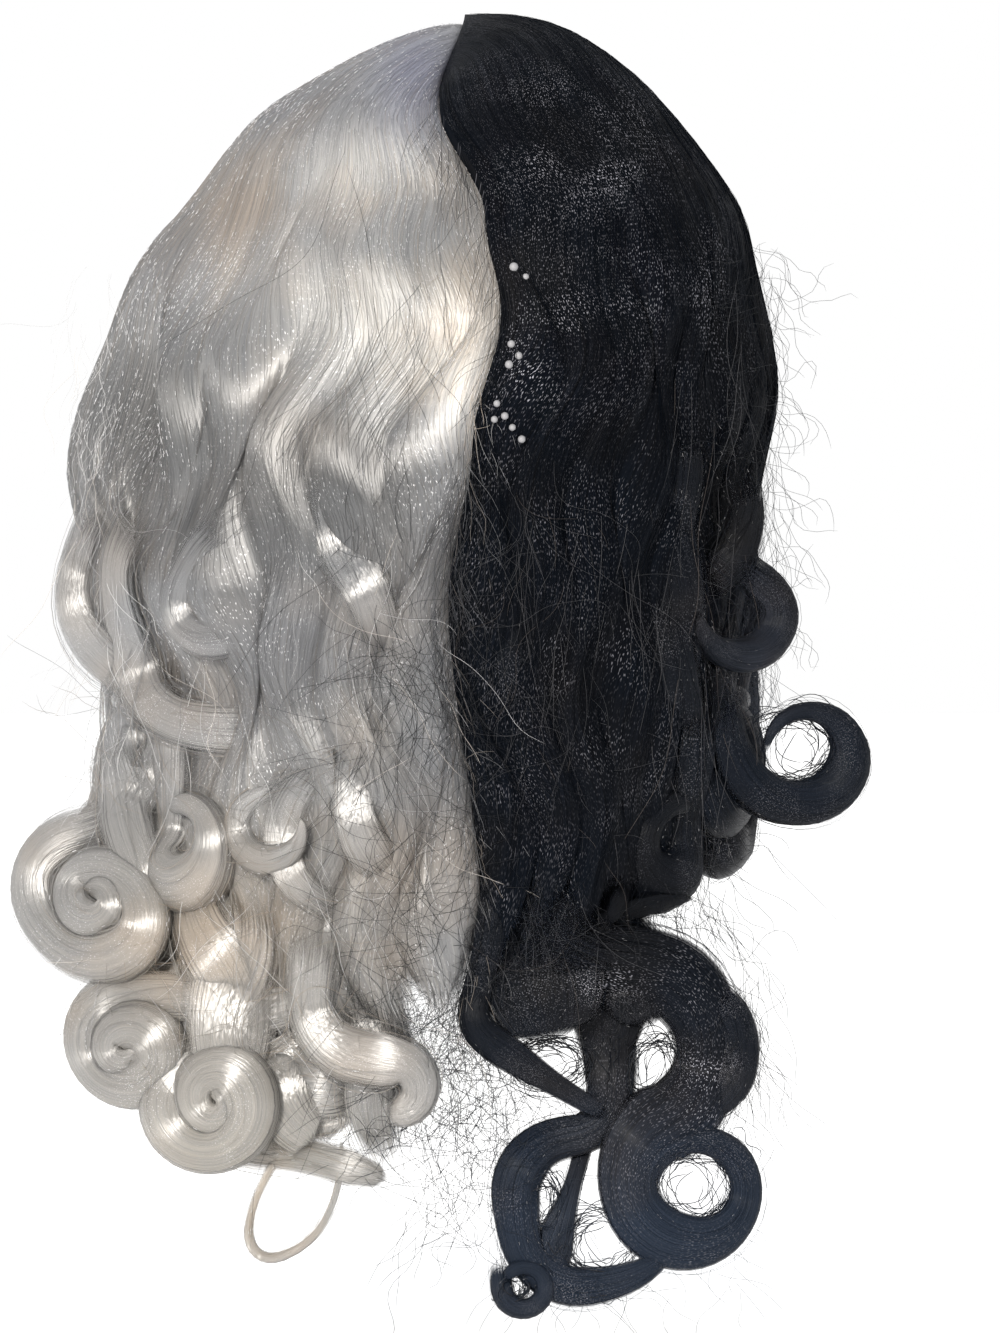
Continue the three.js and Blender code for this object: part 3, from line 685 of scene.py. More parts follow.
# Colours of the fibre: its dull and bright ends, a warm cast and the share of fibres that have it; the
# silver's single fibres are painted lighter by a gain, to offset the shade along their sides.
PALETTE = {
    "silver": {
        "dull": (0.092, 0.096, 0.104), "bright": (0.142, 0.144, 0.147), "warm": (0.172, 0.148, 0.124),
        "warm_share": 0.25, "shade_offset_gain": 1.3,
    },
    "black": {
        "dull": (0.0012, 0.0019, 0.0032), "bright": (0.003, 0.0042, 0.0068), "warm": (0.0038, 0.0036, 0.0038),
        "warm_share": 0.12,
    },
    "pale": {
        "dull": (0.30, 0.30, 0.31), "bright": (0.6, 0.6, 0.6), "warm": (0.5, 0.45, 0.4), "warm_share": 0.2,
    },
    "smoke": {
        "dull": (0.01, 0.011, 0.013), "bright": (0.06, 0.06, 0.065), "warm": (0.06, 0.05, 0.045),
        "warm_share": 0.1,
    },
}
# How the tone of clumps and of single fibres spreads about the middle, and how warm a warm fibre is.
TONE = {"middle": 0.5, "clumps": 0.2, "fibres": 0.25, "warm": 0.7}
# How a fibre tapers: its least share, and the shares of its length over which it thins to root and tip.
TAPER = {"least": 0.35, "root": 0.12, "tip": 0.15}


def clump_tones(rng, count=None):
    """Tones of clumps of fibre, or of one."""
    return TONE["middle"] + rng.uniform(-TONE["clumps"], TONE["clumps"], count)


def fibre_colours(rng, colour, paths, tone):
    """Colours along fibres, one each, between the palette's dull, bright and warm ends, with the painted
    light and shade of the patches.
    """
    count, steps = paths.shape[:2]
    palette = PALETTE[colour]
    share = np.clip(tone + rng.normal(0, TONE["fibres"], count), 0, 1)[:, None]
    made = between(np.array(palette["dull"]), np.array(palette["bright"]), share)
    warm = (rng.random(count) < palette["warm_share"])[:, None]
    made = np.where(warm, between(made, np.array(palette["warm"]), TONE["warm"]), made)
    # Painted light: the silver's single fibres lighter, against the shade along their sides.
    made = np.repeat(made[:, None, :], steps, axis=1) * palette.get("shade_offset_gain", 1.0)
    # The painted light and shade of the patches, on the fibres too.
    return made * tone_and_painted_light_at(colour, paths) if colour in TONE_AND_PAINTED_LIGHT else made


def drawn_out(radius, steps, count):
    """Radii that taper to both ends of a fibre."""
    share = np.linspace(0, 1, steps)
    taper = between(TAPER["least"], 1.0, smooth(0, TAPER["root"], share) * smooth(0, TAPER["tip"], 1 - share))
    return np.repeat((radius * taper)[None, :], count, axis=0)


# Combed fibres: most are rooted at the parting and some start later, and clumps pull them together below.
COMBED = {
    "count": 480, "steps": 24, "radius": 0.06, "crowd": 1.2, "rooted": 0.7, "root": (0.0, 0.06),
    "later": (0.1, 0.5), "end": (0.72, 1.03), "clumps": 84, "clump_middle": (0.2, 0.8), "pull": 0.2,
    "pulled": (0.15, 0.85), "proud": (-0.05, 0.25), "clump_proud": (0, 0.15),
}


def combed_fibres(colour, half, seed):
    """Fibres combed from the parting over the crown and down the hanging mass, gathered into fine clumps."""
    rng = np.random.default_rng(seed)
    count, steps, clumps = COMBED["count"], COMBED["steps"], COMBED["clumps"]
    along = ((np.arange(count) + rng.random(count)) / count) ** COMBED["crowd"]
    clump = np.minimum((along * clumps).astype(int), clumps - 1)
    middle = (clump + rng.uniform(*COMBED["clump_middle"], clumps)[clump]) / clumps
    rooted = rng.random(count) < COMBED["rooted"]
    start = np.where(rooted, rng.uniform(*COMBED["root"], count), rng.uniform(*COMBED["later"], count))
    end = rng.uniform(*COMBED["end"], count)
    down = start[:, None] + (end - start)[:, None] * np.linspace(0, 1, steps)[None, :]
    pull = COMBED["pull"] * smooth(*COMBED["pulled"], down)
    paths, out = combed_course(half, between(along[:, None], middle[:, None], pull), down)
    proud = rng.uniform(*COMBED["proud"], count) + rng.uniform(*COMBED["clump_proud"], clumps)[clump]
    paths = paths + out * proud[:, None, None]
    colours = fibre_colours(rng, colour, paths, clump_tones(rng, clumps)[clump])
    return round_strands(paths, out, drawn_out(COMBED["radius"], steps, count), colours)


# Fibres on the locks: how many to a millimetre of width, how they sway round the lock and wander off it.
LOCK_FIBRES = {
    "per_width": 1.1, "least": 10, "step": 7.0, "radius": 0.06, "sway": (0.4, 1.2), "wander": (0.1, 0.5),
    "seat": 0.99, "proud": 0.045, "loosen": 0.05, "fray": 2.0,
}


def along_lock(rng, run, count):
    """Courses that follow a lock round its section, wander and fray at its tip, with their outward sides."""
    kind, share = LOCK_FIBRES, run["share"]
    sway = rng.uniform(*kind["sway"], count)[:, None] * share + rng.random(count)[:, None]
    angle = rng.uniform(0, 2 * math.pi, count)[:, None]
    angle = angle + rng.uniform(*kind["wander"], count)[:, None] * np.sin(2 * math.pi * sway)
    swell = kind["seat"] + np.abs(rng.normal(0, kind["proud"], count))[:, None]
    swell = swell + kind["loosen"] * rng.random(count)[:, None] * share
    paths = np.stack([on_lock(run, a, s) for a, s in zip(angle, swell)])
    flat = (run["half_thick"] / run["half_width"])[None, :, None]
    outs = np.cos(angle)[..., None] * flat * run["across"] + np.sin(angle)[..., None] * run["normal"]
    fray = rng.normal(0, kind["fray"], (count, 1, 3)) * (share**3)[None, :, None]
    return paths + fray, outs


def lock_fibres(colour, half, locks, seed):
    """Single fibres on each lock."""
    rng = np.random.default_rng(seed)
    bundles = []
    for lock in locks:
        run = lock_run(half, lock, LOCK_FIBRES["step"])
        count = max(int(LOCK_FIBRES["per_width"] * lock["width"]), LOCK_FIBRES["least"])
        paths, outs = along_lock(rng, run, count)
        colours = fibre_colours(rng, colour, paths, clump_tones(rng))
        radius = drawn_out(LOCK_FIBRES["radius"], len(run["share"]), count)
        bundles.append(round_strands(paths, outs, radius, colours))
    return bundles


# The sparkle of each half, short pale dashes coloured as painted glints: how much stays below the crown, and
# whether the combed fibres carry it too.
SPARKLE = {
    "silver": {
        "count": 8500, "tone": (0.6, 0.98), "length": (0.4, 1.4), "radius": 0.055, "proud": 0.4, "below": 1.0,
        "combed": 1,
    },
    "black": {
        "count": 7000, "tone": (0.05, 0.35), "length": (0.3, 1.1), "radius": 0.05, "proud": 0.3, "below": 3.0,
        "combed": 0,
    },
}
# The bluish white of the painted glints.
PAINTED_GLINT_TINT = (0.97, 0.97, 1.0)
# Its patches: their lengths across and down, how far each set sways and over what lengths, the least between
# them, and the heights between which the crown's share comes in.
CROWDS = {
    "across": 13.0, "across_sway": 1.3, "across_sway_down": 17.0,
    "down": 15.0, "down_sway": 1.1, "down_sway_across": 19.0, "down_sway_deep": 23.0,
    "least": 0.3, "from": -0.1, "full": 0.8, "crown": (-60, 30),
}


def crowding(places):
    """How the sparkle crowds together at places on the wig."""
    x, y, z = places.T
    across = x / CROWDS["across"] + CROWDS["across_sway"] * np.sin(z / CROWDS["across_sway_down"])
    sway = np.sin(x / CROWDS["down_sway_across"] + y / CROWDS["down_sway_deep"])
    patch = np.sin(across) * np.sin(z / CROWDS["down"] + CROWDS["down_sway"] * sway)
    return CROWDS["least"] + smooth(CROWDS["from"], CROWDS["full"], patch)


def sparkle(colour, bundles, seed):
    """Painted glints: short pale dashes where single fibres would catch the light, crowded in patches."""
    rng, kind = np.random.default_rng(seed), SPARKLE[colour]
    starts, ends, outs = (np.concatenate([part.reshape(-1, 3) for part in parts]) for parts in (
        [paths[:, :-1] for paths, *_ in bundles],
        [paths[:, 1:] for paths, *_ in bundles],
        [sides[:, :-1] for _, sides, *_ in bundles],
    ))
    at_height = kind["below"] + smooth(*CROWDS["crown"], starts[:, 2])
    weight = np.linalg.norm(ends - starts, axis=1) * crowding(starts) * at_height
    count = kind["count"]
    picked = rng.choice(len(starts), count, p=weight / weight.sum())
    ahead, out = unit(ends[picked] - starts[picked]), unit(outs[picked])
    first = between(starts[picked], ends[picked], rng.random(count)[:, None]) + out * kind["proud"]
    paths = np.stack((first, first + ahead * rng.uniform(*kind["length"], count)[:, None]), 1)
    tone = between(*kind["tone"], rng.random(count) ** 2)
    colours = np.repeat((tone[:, None] * np.array(PAINTED_GLINT_TINT))[:, None, :], 2, axis=1)
    radius = np.full((count, 2), kind["radius"])
    return [round_strands(paths, np.repeat(out[:, None], 2, axis=1), radius, colours)]


# Loose fibres, drawn as slow random strolls over the form. Each row gives how many there are, the box seen
# from behind that they start in, their first heading, length, bend in 1/mm and lift off the mass,
# then their radius and whether they follow the seam, where these differ from the rest.
LOOSE = table(
    "on tone count x z heading length bend lift radius by_seam",
    ("silver", "silver", 160, (-100, -10), (-200, -88), (-180, 180), (15, 40), 0.09, (1, 6)),
    ("silver", "pale", 90, (-104, 0), (-190, -40), (-130, -50), (20, 50), 0.05, (0, 5)),
    ("silver", "black", 60, (-30, 12), (-170, 74), (-118, -62), (40, 100), 0.03, (0.4, 3)),
    ("silver", "black", 150, (-20, 12), (-190, -70), (-180, 180), (20, 45), 0.09, (2, 6)),
    ("silver", "pale", 90, (-110, -94), (-110, 40), (-112, -80), (15, 30), 0.06, (0, 3), 0.045),
    ("silver", "silver", 260, (-6, 2), (-190, 96), (-116, -58), (8, 30), 0.06, (0.4, 3.0), 0.065, True),
    ("black", "black", 340, (-2, 6), (-190, 96), (-122, -64), (8, 30), 0.06, (0.4, 3.0), 0.065, True),
    ("black", "smoke", 130, (4, 42), (-165, -20), (-112, -68), (30, 80), 0.06, (0.4, 4), 0.05),
    ("black", "smoke", 80, (20, 90), (-110, 40), (-105, -82), (40, 90), 0.015, (0.4, 2)),
    ("black", "black", 300, (88, 100), (-90, 46), (-108, -76), (14, 32), 0.13, (0, 3), 0.06),
    ("black", "black", 120, (80, 96), (-206, -168), (-125, -60), (16, 40), 0.07, (-8, 6), 0.08),
    ("black", "black", 110, (56, 88), (-170, -135), (-120, -30), (15, 34), 0.09, (-8, 3), 0.08),
    ("black", "black", 380, (-8, 18), (-246, -165), (-180, 180), (20, 46), 0.13, (-10, 4), 0.08),
    ("black", "smoke", 220, (-20, 14), (-208, -178), (-180, 180), (10, 26), 0.14, (-10, 2), 0.06),
    ("black", "black", 60, (18, 90), (-268, -245), (-140, -10), (12, 24), 0.1, (-8, 4)),
)
# A loose fibre bends in a slow swing and a quicker, slighter one, and bobs off the mass towards its tip.
LOOSE_FIBRE = {
    "radius": 0.065, "step": 2.6, "least_steps": 8, "swings": (0.5, 1.5), "quicker": 2.3,
    "slighter": 0.8, "bob": 2.5,
}


def loose_fibres(rows, seed):
    """Loose fibres strolling off and over the mass, a bundle for each row."""
    rng = np.random.default_rng(seed)
    bundles = []
    for row in rows:
        count = row["count"]
        x, z, heading, length, lift = (
            rng.uniform(*row[key], count)[:, None] for key in ("x", "z", "heading", "length", "lift")
        )
        if row.get("by_seam"):
            x = x + column(SEAM, "z", z, "x")
        steps = max(int(row["length"][1] / LOOSE_FIBRE["step"]), LOOSE_FIBRE["least_steps"])
        share = np.linspace(0, 1, steps)[None, :]
        slow, quick = rng.uniform(*LOOSE_FIBRE["swings"], (2, count, 1))
        bend = 0
        for much, swings in ((1, slow), (LOOSE_FIBRE["slighter"], LOOSE_FIBRE["quicker"] * quick)):
            swing = rng.normal(0, much, (count, 1))
            bend = bend + swing * np.sin(2 * math.pi * (swings * share + rng.random((count, 1))))
        stride = length / (steps - 1)
        course = np.radians(heading) + np.cumsum(row["bend"] * bend * stride, axis=1)
        px = x + np.cumsum(np.cos(course) * stride, axis=1)
        pz = z + np.cumsum(np.sin(course) * stride, axis=1)
        bob = LOOSE_FIBRE["bob"] * np.sin(2 * math.pi * (share * slow + rng.random((count, 1)))) * share
        paths, sides = place_on_form(HALVES[row["on"]], px, pz, lift + bob)
        colours = fibre_colours(rng, row["tone"], paths, TONE["middle"])
        radius = row.get("radius", LOOSE_FIBRE["radius"])
        bundles.append(round_strands(paths, sides, drawn_out(radius, steps, count), colours))
    return bundles


# Open middles of ring curls that loose fibres web across: place, half width and half height.
RINGS = table(
    "x z wide tall",
    (77.0, -239.0, 12.0, 11.5),
    (30.9, -242.0, 5.5, 8.5),
    (22.5, -267.4, 4.0, 4.0),
    (48.6, -255.0, 11.0, 10.0),
    (34.0, -201.5, 11.0, 7.0),
    (65.0, -203.5, 7.5, 10.0),
    (109.8, -108.1, 12.5, 11.0),
    (88.2, -115.0, 3.0, 8.0),
    (54.0, -169.0, 11.0, 7.0),
)
# The webs: arcs that follow a ring's inside, and strays further off. Sizes are shares of the opening.
WEB = {
    "arcs": 64, "strays": 14, "steps": 12, "radius": 0.15, "wobble": 0.1, "wobbles": (0.6, 1.6),
    "lift": (-9, 1),
    "arc": {"sweep": (0.8, 2.8), "size": (0.7, 1.15), "aside": (0.0, 0.45)},
    "stray": {"sweep": (0.6, 1.2), "size": (0.9, 1.4), "aside": (0.3, 0.8)},
}


def ring_webs(seed):
    """Fine arcs and strays across the open middles of the ring curls."""
    rng = np.random.default_rng(seed)
    count, steps = WEB["arcs"] + WEB["strays"], WEB["steps"]
    stray = np.arange(count) >= WEB["arcs"]
    share = np.linspace(0, 1, steps)[None, :]
    bundles = []
    for ring in RINGS:
        start = rng.uniform(0, 2 * math.pi, (count, 1))
        sweep, size, aside = (
            np.where(stray, *(rng.uniform(*WEB[kind][key], count) for kind in ("stray", "arc")))[:, None]
            for key in ("sweep", "size", "aside")
        )
        toward = rng.uniform(0, 2 * math.pi, (count, 1))
        angle = start + sweep * (share - 0.5)
        wobbles = share * rng.uniform(*WEB["wobbles"], (count, 1)) + rng.random((count, 1))
        size = size * (1 + WEB["wobble"] * np.sin(2 * math.pi * wobbles))
        px = ring["x"] + ring["wide"] * (aside * np.cos(toward) + size * np.cos(angle))
        pz = ring["z"] + ring["tall"] * (aside * np.sin(toward) + size * np.sin(angle))
        paths, sides = place_on_form(HALVES["black"], px, pz, rng.uniform(*WEB["lift"], (count, 1)))
        colours = fibre_colours(rng, "black", paths, TONE["middle"])
        bundles.append(round_strands(paths, sides, drawn_out(WEB["radius"], steps, count), colours))
    return bundles


# Small pale knots of the wefts that show beside the seam.
KNOTS = table(
    "x z size",
    (21.0, 32.7, 1.4),
    (24.3, 29.8, 1.15),
    (20.3, 10.0, 1.15),
    (22.4, 6.6, 1.15),
    (19.7, 4.0, 1.25),
    (16.3, -7.4, 1.05),
    (18.5, -11.0, 1.15),
    (15.6, -12.0, 1.05),
    (20.6, -14.3, 1.05),
    (23.2, -17.7, 1.15),
)
KNOT_LIFT = 4.2
KNOT_COLOUR = (0.2, 0.2, 0.21)
KNOT_ROUGHNESS = 0.5


def weft_knots(name):
    """Small round knots, set on the black half."""
    bm = bmesh.new()
    for knot in KNOTS:
        x, z, lift = (np.array([value]) for value in (knot["x"], knot["z"], KNOT_LIFT))
        place = place_on_form(HALVES["black"], x, z, lift)[0][0]
        verts = bmesh.ops.create_icosphere(bm, subdivisions=2, radius=knot["size"] * MM)["verts"]
        bmesh.ops.translate(bm, verts=verts, vec=place * MM)
    return mesh_from(bm, name)


# The satin gloss of the combed hair and of the locks, and that of single fibres.
GLOSS = {
    "silver": {"roughness": 0.46, "ior": 1.9, "specular": 0.5},
    "black": {"roughness": 0.4, "ior": 1.45, "specular": 0.022},
}
LOCK_GLOSS = {
    "silver": {"roughness": 0.37, "ior": 2.1, "specular": 0.5},
    "black": {"roughness": 0.4, "ior": 1.45, "specular": 0.06},
}
SPARKLE_GLOSS = {"roughness": 0.3, "ior": 1.5, "specular": 0.5}
LOOSE_GLOSS = {"roughness": 0.4, "ior": 1.45, "specular": 0.2}
# Lines of massed fibre: how many streaks, dashes and painted glints lie across a piece, how many dashes and
# painted glints follow each other along it, and the depth of the relief in metres.
LINES = {
    "mass": {
        "streaks": 460.0, "dashes": 420.0, "dash_lengths": 22.0, "glints": 1000.0, "glint_lengths": 340.0,
        "relief": 0.0003,
    },
    "lock": {
        "streaks": 130.0, "dashes": 70.0, "dash_lengths": 34.0, "glints": 260.0, "glint_lengths": 320.0,
        "relief": 0.0004,
    },
}
# The streaks: where their noise turns from dull to bright, and their share of the relief with the dashes.
STREAK = {"lengths": 3.0, "detail": 3.0, "dull": 0.36, "bright": 0.64}
DASH = {"detail": 1.0, "height": 0.7, "strength": 0.6}
ACROSS_THE_HAIR = 0.9
# Slow drifts of the warm cast over a piece.
WARM = {"patches": 26.0, "detail": 2.0, "from": 0.45, "full": 0.7, "most": 0.7}
# Where the cover is thin, the sum of cover and streak from which strands show, and where the hair is whole.
BREAKING = {"cover": 1.1, "bare": 0.58, "whole": 0.98}
# How the painted glints crowd in small patches, and how scarce they are between these.
GLINT = {"crowd": (0.42, 0.6), "scarce": 0.15, "patches": 60.0, "detail": 3.0}
# Each colour's painted glints: the top of the noise that makes a dash, and the bright tone mixed into the
# colour there.
GLINTS = {
    "silver": {"dash": (0.69, 0.78), "tone": (0.75, 0.75, 0.77)},
    "black": {"dash": (0.63, 0.76), "tone": (0.5, 0.5, 0.56)},
}
# How much light soaks into the massed fibre, and how deep it goes in metres.
SOFT = {"silver": 0.7, "black": 0.0}
SOFT_DEPTH = 0.006
# The cap's net: meshes to a metre, colours of thread and gap, thread width and relief.
NET = {
    "meshes": 420.0, "thread": (0.045, 0.045, 0.05), "gap": (0.008, 0.008, 0.009), "width": 0.18,
    "strength": 0.5, "relief": 0.0005, "roughness": 0.85,
}


def node_material(name):
    """A new material with its nodes, its links and its shader."""
    material = bpy.data.materials.new(name)
    material.use_nodes = True
    nodes, links = material.node_tree.nodes, material.node_tree.links
    return material, nodes, links, nodes["Principled BSDF"]


def plain_material(name, colour, roughness, glow=0.0):
    """An even material, which may shine a little of its own."""
    material, _, _, shader = node_material(name)
    shader.inputs["Base Color"].default_value = (*colour, 1)
    shader.inputs["Roughness"].default_value = roughness
    shader.inputs["Emission Color"].default_value = (1, 1, 1, 1)
    shader.inputs["Emission Strength"].default_value = glow
    return material


def set_gloss(shader, roughness, ior, specular):
    """Gives a shader its gloss."""
    shader.inputs["Roughness"].default_value = roughness
    shader.inputs["IOR"].default_value = ior
    shader.inputs["Specular IOR Level"].default_value = specular


def painted(nodes, layer):
    """What was painted on a piece's points."""
    paint = nodes.new("ShaderNodeAttribute")
    paint.attribute_name = layer
    return paint.outputs


def fibre_material(name, **gloss):
    """Fine fibres: each has its own colour, with a satin gloss."""
    material, nodes, links, shader = node_material(name)
    links.new(painted(nodes, "fibre")["Color"], shader.inputs["Base Color"])
    set_gloss(shader, **gloss)
    return material


def noise_along(nodes, links, uv, across, along, detail):
    """Noise stretched along the hair: so many lines across a piece, and so many lengths along it."""
    stretch = nodes.new("ShaderNodeMapping")
    stretch.inputs["Scale"].default_value = (across, along, 1.0)
    links.new(uv.outputs["UV"], stretch.inputs["Vector"])
    return noise_at(nodes, links, stretch.outputs["Vector"], 1.0, detail)


def noise_at(nodes, links, place, scale, detail):
    """Soft noise at places on a piece."""
    noise = nodes.new("ShaderNodeTexNoise")
    noise.inputs["Scale"].default_value = scale
    noise.inputs["Detail"].default_value = detail
    links.new(place, noise.inputs["Vector"])
    return noise.outputs["Fac"]


def ranged(nodes, links, value, low, high, least=0.0, most=1.0):
    """Stretches what lies between a low and a high value over a range, and holds it there."""
    stretch = nodes.new("ShaderNodeMapRange")
    for socket, end in (("From Min", low), ("From Max", high), ("To Min", least), ("To Max", most)):
        stretch.inputs[socket].default_value = end
    links.new(value, stretch.inputs["Value"])
    return stretch.outputs["Result"]


def product(nodes, links, first, second):
    """Two values multiplied."""
    times = nodes.new("ShaderNodeMath")
    times.operation = "MULTIPLY"
    links.new(first, times.inputs[0])
    links.new(second, times.inputs[1])
    return times.outputs["Value"]


def weighed_sum(nodes, links, value, weight, other):
    """A value by its weight, added to another."""
    total = nodes.new("ShaderNodeMath")
    total.operation = "MULTIPLY_ADD"
    total.inputs[1].default_value = weight
    links.new(value, total.inputs[0])
    links.new(other, total.inputs[2])
    return total.outputs["Value"]


def tinted(nodes, links, base, tint, share):
    """A colour turned towards a tint by a share."""
    mixed = nodes.new("ShaderNodeMix")
    mixed.data_type = "RGBA"
    mixed.inputs["B"].default_value = (*tint, 1)
    links.new(share, mixed.inputs["Factor"])
    links.new(base, mixed.inputs["A"])
    return mixed.outputs["Result"]


def fibre_tones(nodes, links, streak, place, palette):
    """Streaks between dull and bright with drifts of the warm cast, times the tone and painted light and
    shade on the piece.
    """
    tone = nodes.new("ShaderNodeValToRGB")
    for stop, end in zip(tone.color_ramp.elements, ("dull", "bright")):
        stop.position = STREAK[end]
        stop.color = (*palette[end], 1)
    links.new(streak, tone.inputs["Fac"])
    drift = noise_at(nodes, links, place, WARM["patches"], WARM["detail"])
    warmth = ranged(nodes, links, drift, WARM["from"], WARM["full"], most=WARM["most"])
    toned = nodes.new("ShaderNodeMix")
    toned.data_type = "RGBA"
    toned.blend_type = "MULTIPLY"
    toned.inputs["Factor"].default_value = 1.0
    links.new(tinted(nodes, links, tone.outputs["Color"], palette["warm"], warmth), toned.inputs["A"])
    # The painted light and shade of the patches, from the piece's tone layer.
    links.new(painted(nodes, "tone")["Color"], toned.inputs["B"])
    return toned.outputs["Result"]


def add_painted_glints(nodes, links, uv, place, lines, glint, base):
    """Adds painted glints: fine bright dashes mixed into the colour where single fibres would catch the
    light, crowded in patches.
    """
    dash = noise_along(nodes, links, uv, lines["glints"], lines["glint_lengths"], 0.0)
    crowd = noise_at(nodes, links, place, GLINT["patches"], GLINT["detail"])
    share = product(nodes, links, painted(nodes, "glow")["Fac"], ranged(nodes, links, dash, *glint["dash"]))
    share = product(nodes, links, share, ranged(nodes, links, crowd, *GLINT["crowd"], least=GLINT["scarce"]))
    return tinted(nodes, links, base, glint["tone"], share)


def thin_out(nodes, links, streak, shader):
    """Lets the hair break into single strands where its cover is thin."""
    broken = weighed_sum(nodes, links, painted(nodes, "cover")["Fac"], BREAKING["cover"], streak)
    solid = ranged(nodes, links, broken, BREAKING["bare"], BREAKING["whole"])
    links.new(solid, shader.inputs["Alpha"])


def raise_relief(nodes, links, height, strength, depth, shader):
    """Fine relief, by height. Returns its node."""
    relief = nodes.new("ShaderNodeBump")
    relief.inputs["Strength"].default_value = strength
    relief.inputs["Distance"].default_value = depth
    links.new(height, relief.inputs["Height"])
    links.new(relief.outputs["Normal"], shader.inputs["Normal"])
    return relief


def streaked_hair(name, colour, lines, **gloss):
    """Massed fibre: streaks of tone along the hair with painted light, shade and glints, fine dashes of
    relief, and a satin gloss across it.
    """
    material, nodes, links, shader = node_material(name)
    uv, place = nodes.new("ShaderNodeUVMap"), nodes.new("ShaderNodeTexCoord").outputs["Object"]
    streak = noise_along(nodes, links, uv, lines["streaks"], STREAK["lengths"], STREAK["detail"])
    dash = noise_along(nodes, links, uv, lines["dashes"], lines["dash_lengths"], DASH["detail"])
    base = fibre_tones(nodes, links, streak, place, PALETTE[colour])
    # Painted glints mixed into the colour.
    base = add_painted_glints(nodes, links, uv, place, lines, GLINTS[colour], base)
    links.new(base, shader.inputs["Base Color"])
    shader.inputs["Subsurface Weight"].default_value = SOFT[colour]
    shader.inputs["Subsurface Radius"].default_value = (1.0, 1.0, 1.0)
    shader.inputs["Subsurface Scale"].default_value = SOFT_DEPTH
    thin_out(nodes, links, streak, shader)
    height = weighed_sum(nodes, links, dash, DASH["height"], streak)
    raise_relief(nodes, links, height, DASH["strength"], lines["relief"], shader)
    tangent = nodes.new("ShaderNodeTangent")
    tangent.direction_type = "UV_MAP"
    links.new(tangent.outputs["Tangent"], shader.inputs["Tangent"])
    shader.inputs["Anisotropic"].default_value = ACROSS_THE_HAIR
    set_gloss(shader, **gloss)
    return material


def cap_net(name):
    """Black stretch net: a fine mesh of threads, matt."""
    material, nodes, links, shader = node_material(name)
    net = nodes.new("ShaderNodeTexVoronoi")
    net.feature = "DISTANCE_TO_EDGE"
    net.inputs["Scale"].default_value = NET["meshes"]
    links.new(nodes.new("ShaderNodeTexCoord").outputs["Object"], net.inputs["Vector"])
    thread = nodes.new("ShaderNodeValToRGB")
    thread.color_ramp.elements[0].color = (*NET["thread"], 1)
    thread.color_ramp.elements[1].position = NET["width"]
    thread.color_ramp.elements[1].color = (*NET["gap"], 1)
    links.new(net.outputs["Distance"], thread.inputs["Fac"])
    links.new(thread.outputs["Color"], shader.inputs["Base Color"])
    raise_relief(nodes, links, net.outputs["Distance"], NET["strength"], NET["relief"], shader).invert = True
    shader.inputs["Roughness"].default_value = NET["roughness"]
    return material


def dress_half(colour, seed):
    """One half over its solid: the combed mass, its locks, and the fibres and the painted sparkle on both."""
    half, slot, node = HALVES[colour], f"{colour}_fibre", f"{colour}_hair"
    fine = fibre_material(f"{colour}_fine", **GLOSS[colour])
    massed = streaked_hair(f"{colour}_massed", colour, LINES["mass"], **GLOSS[colour])
    locked = streaked_hair(f"{colour}_locked", colour, LINES["lock"], **LOCK_GLOSS[colour])
    glint = fibre_material(f"{colour}_glint", **SPARKLE_GLOSS)
    locks = all_locks(half)
    mass = piece(f"{colour}_mass", combed_mass(f"{colour}_mass", colour, half), massed)
    piece(f"{colour}_locks", lock_bodies(f"{colour}_locks", colour, half, locks, seed), locked)
    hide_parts(node)
    combed = combed_fibres(colour, half, seed + 1)
    strand_piece(f"{colour}_combed", [combed], fine)
    curls = lock_fibres(colour, half, locks, seed + 2)
    strand_piece(f"{colour}_curls", curls, fine)
    # Pale dashes painted as glints of single fibres.
    dashes = sparkle(colour, [combed] * SPARKLE[colour]["combed"] + curls, seed + 3)
    strand_piece(f"{colour}_sparkle", dashes, glint)


def dress_loose(seed):
    """Loose fibres, the webs in the rings and the weft knots."""
    fine = fibre_material("loose_fine", **LOOSE_GLOSS)
    for colour in HALVES:
        rows = [row for row in LOOSE if row["on"] == colour]
        strand_piece(f"{colour}_loose", loose_fibres(rows, seed), fine)
    strand_piece("black_webs", ring_webs(seed + 1), fine)
    pale = plain_material("weft_knot", KNOT_COLOUR, KNOT_ROUGHNESS)
    piece("weft_knots", weft_knots("weft_knots"), pale)


def dress_cap():
    """The net on the cap's own solid."""
    net = cap_net("cap_net_weave")
    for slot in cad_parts["wig_cap"].material_slots:
        slot.material = net


# The view in millimetres, its sensor in millimetres of film, and the far end of what it sees in metres.
VIEW = {
    "x": 18.0, "z": -84.0, "plane_y": -60.0, "distance": 2200.0, "height": 400.0, "sensor": 36.0,
    "far": 100.0,
}
# The floor in metres, and its white.
FLOOR = {"radius": 30.0, "sides": 64, "below": 0.003, "white": 0.9, "roughness": 0.9, "glow": 0.35}
# The lamps: place, aim and size in metres, power in watts and colour.
LAMPS = {
    "key": {
        "place": (-0.6, -2.0, 0.62), "aim": (0, -0.05, 0.0), "size": 0.3, "power": 58.0,
        "colour": (1.0, 0.95, 0.88),
    },
    "crown": {
        "place": (-0.15, 0.0, 1.7), "aim": (0, 0, 0.0), "size": 0.5, "power": 6.0,
        "colour": (0.9, 0.93, 1.0),
    },
}


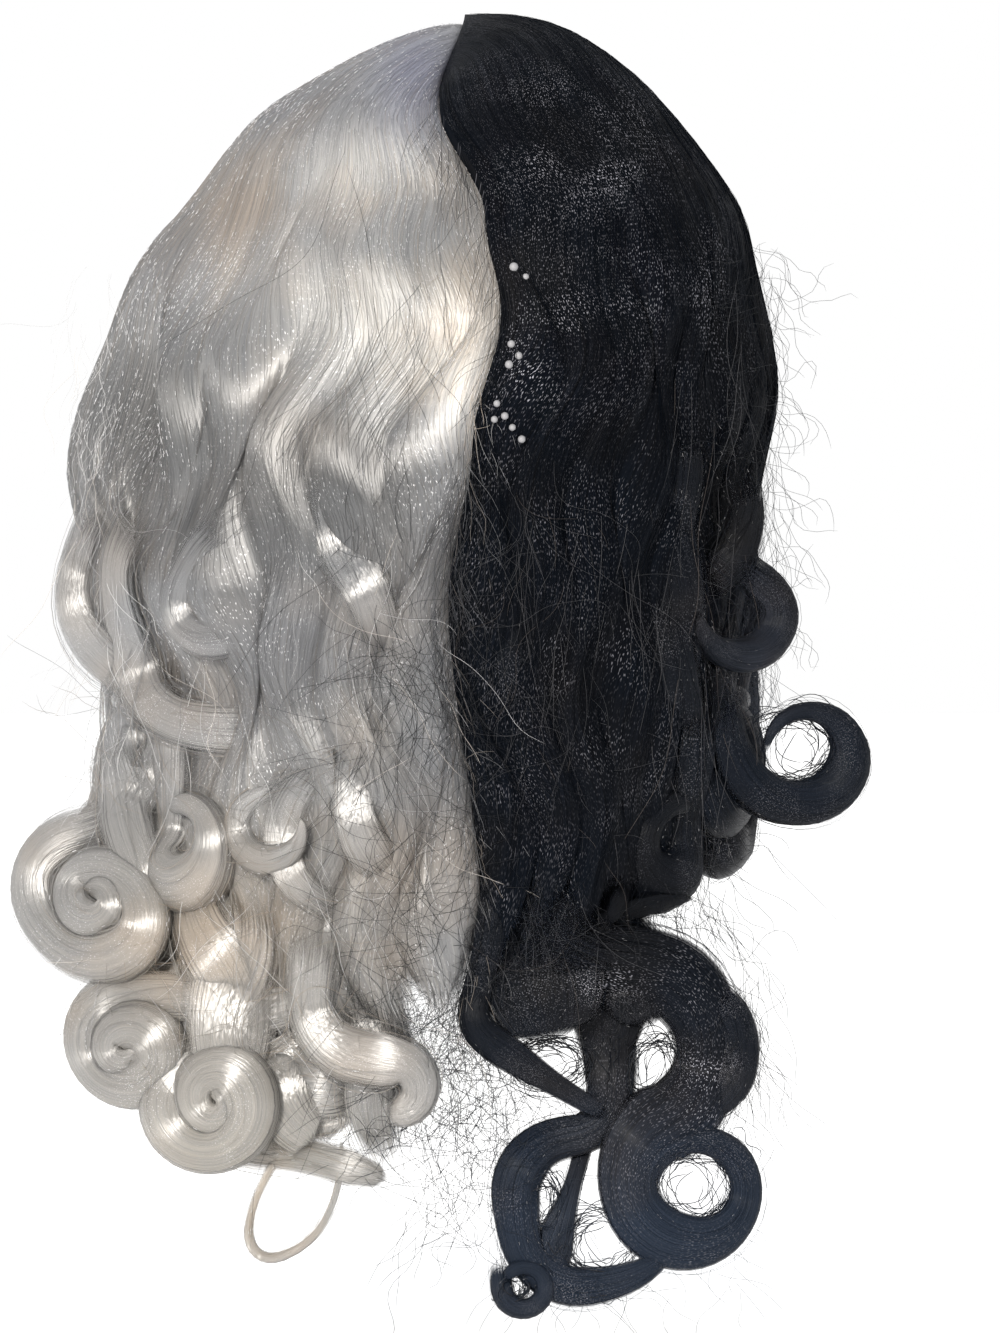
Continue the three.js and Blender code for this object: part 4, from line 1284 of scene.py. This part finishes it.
def set_camera():
    """A long lens square on the wig's back, framed as the picture is: 400 mm high at the curls."""
    data = bpy.data.cameras.new("camera")
    data.sensor_width = VIEW["sensor"]
    data.lens = VIEW["sensor"] * VIEW["distance"] / VIEW["height"]
    data.clip_end = VIEW["far"]
    camera = bpy.data.objects.new("camera", data)
    camera.location = (VIEW["x"] * MM, (VIEW["plane_y"] - VIEW["distance"]) * MM, VIEW["z"] * MM)
    camera.rotation_euler = (math.pi / 2, 0, 0)
    bpy.context.scene.collection.objects.link(camera)
    bpy.context.scene.camera = camera


def soft_light(name, place, aim, size, power, colour):
    """A round lamp, turned to its aim."""
    data = bpy.data.lights.new(name, "AREA")
    data.shape = "DISK"
    data.size = size
    data.energy = power
    data.color = colour
    light = bpy.data.objects.new(name, data)
    light.location = place
    toward = np.asarray(aim) - np.asarray(place)
    tilt = math.atan2(math.hypot(toward[0], toward[1]), -toward[2])
    light.rotation_euler = (tilt, 0.0, math.atan2(toward[1], toward[0]) - math.pi / 2)
    bpy.context.scene.collection.objects.link(light)


def set_stage():
    """A wide white floor under the lowest curl, a white surround and soft lamps."""
    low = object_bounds()[0]
    bm = bmesh.new()
    bmesh.ops.create_circle(bm, cap_ends=True, segments=FLOOR["sides"], radius=FLOOR["radius"])
    bmesh.ops.translate(bm, verts=bm.verts, vec=(0, 0, low[2] - FLOOR["below"]))
    floor = bpy.data.objects.new("floor", mesh_from(bm, "floor"))
    floor.data.materials.append(
        plain_material("white_floor", (FLOOR["white"],) * 3, FLOOR["roughness"], FLOOR["glow"])
    )
    bpy.context.scene.collection.objects.link(floor)
    world = bpy.data.worlds.new("surround")
    world.use_nodes = True
    world.node_tree.nodes["Background"].inputs["Color"].default_value = (1, 1, 1, 1)
    world.node_tree.nodes["Background"].inputs["Strength"].default_value = 1.0
    bpy.context.scene.world = world
    bpy.context.scene.view_settings.view_transform = "Standard"
    for name, lamp in LAMPS.items():
        soft_light(name, **lamp)


dress_cap()
dress_half("silver", 11)
dress_half("black", 41)
dress_loose(71)
set_camera()
set_stage()
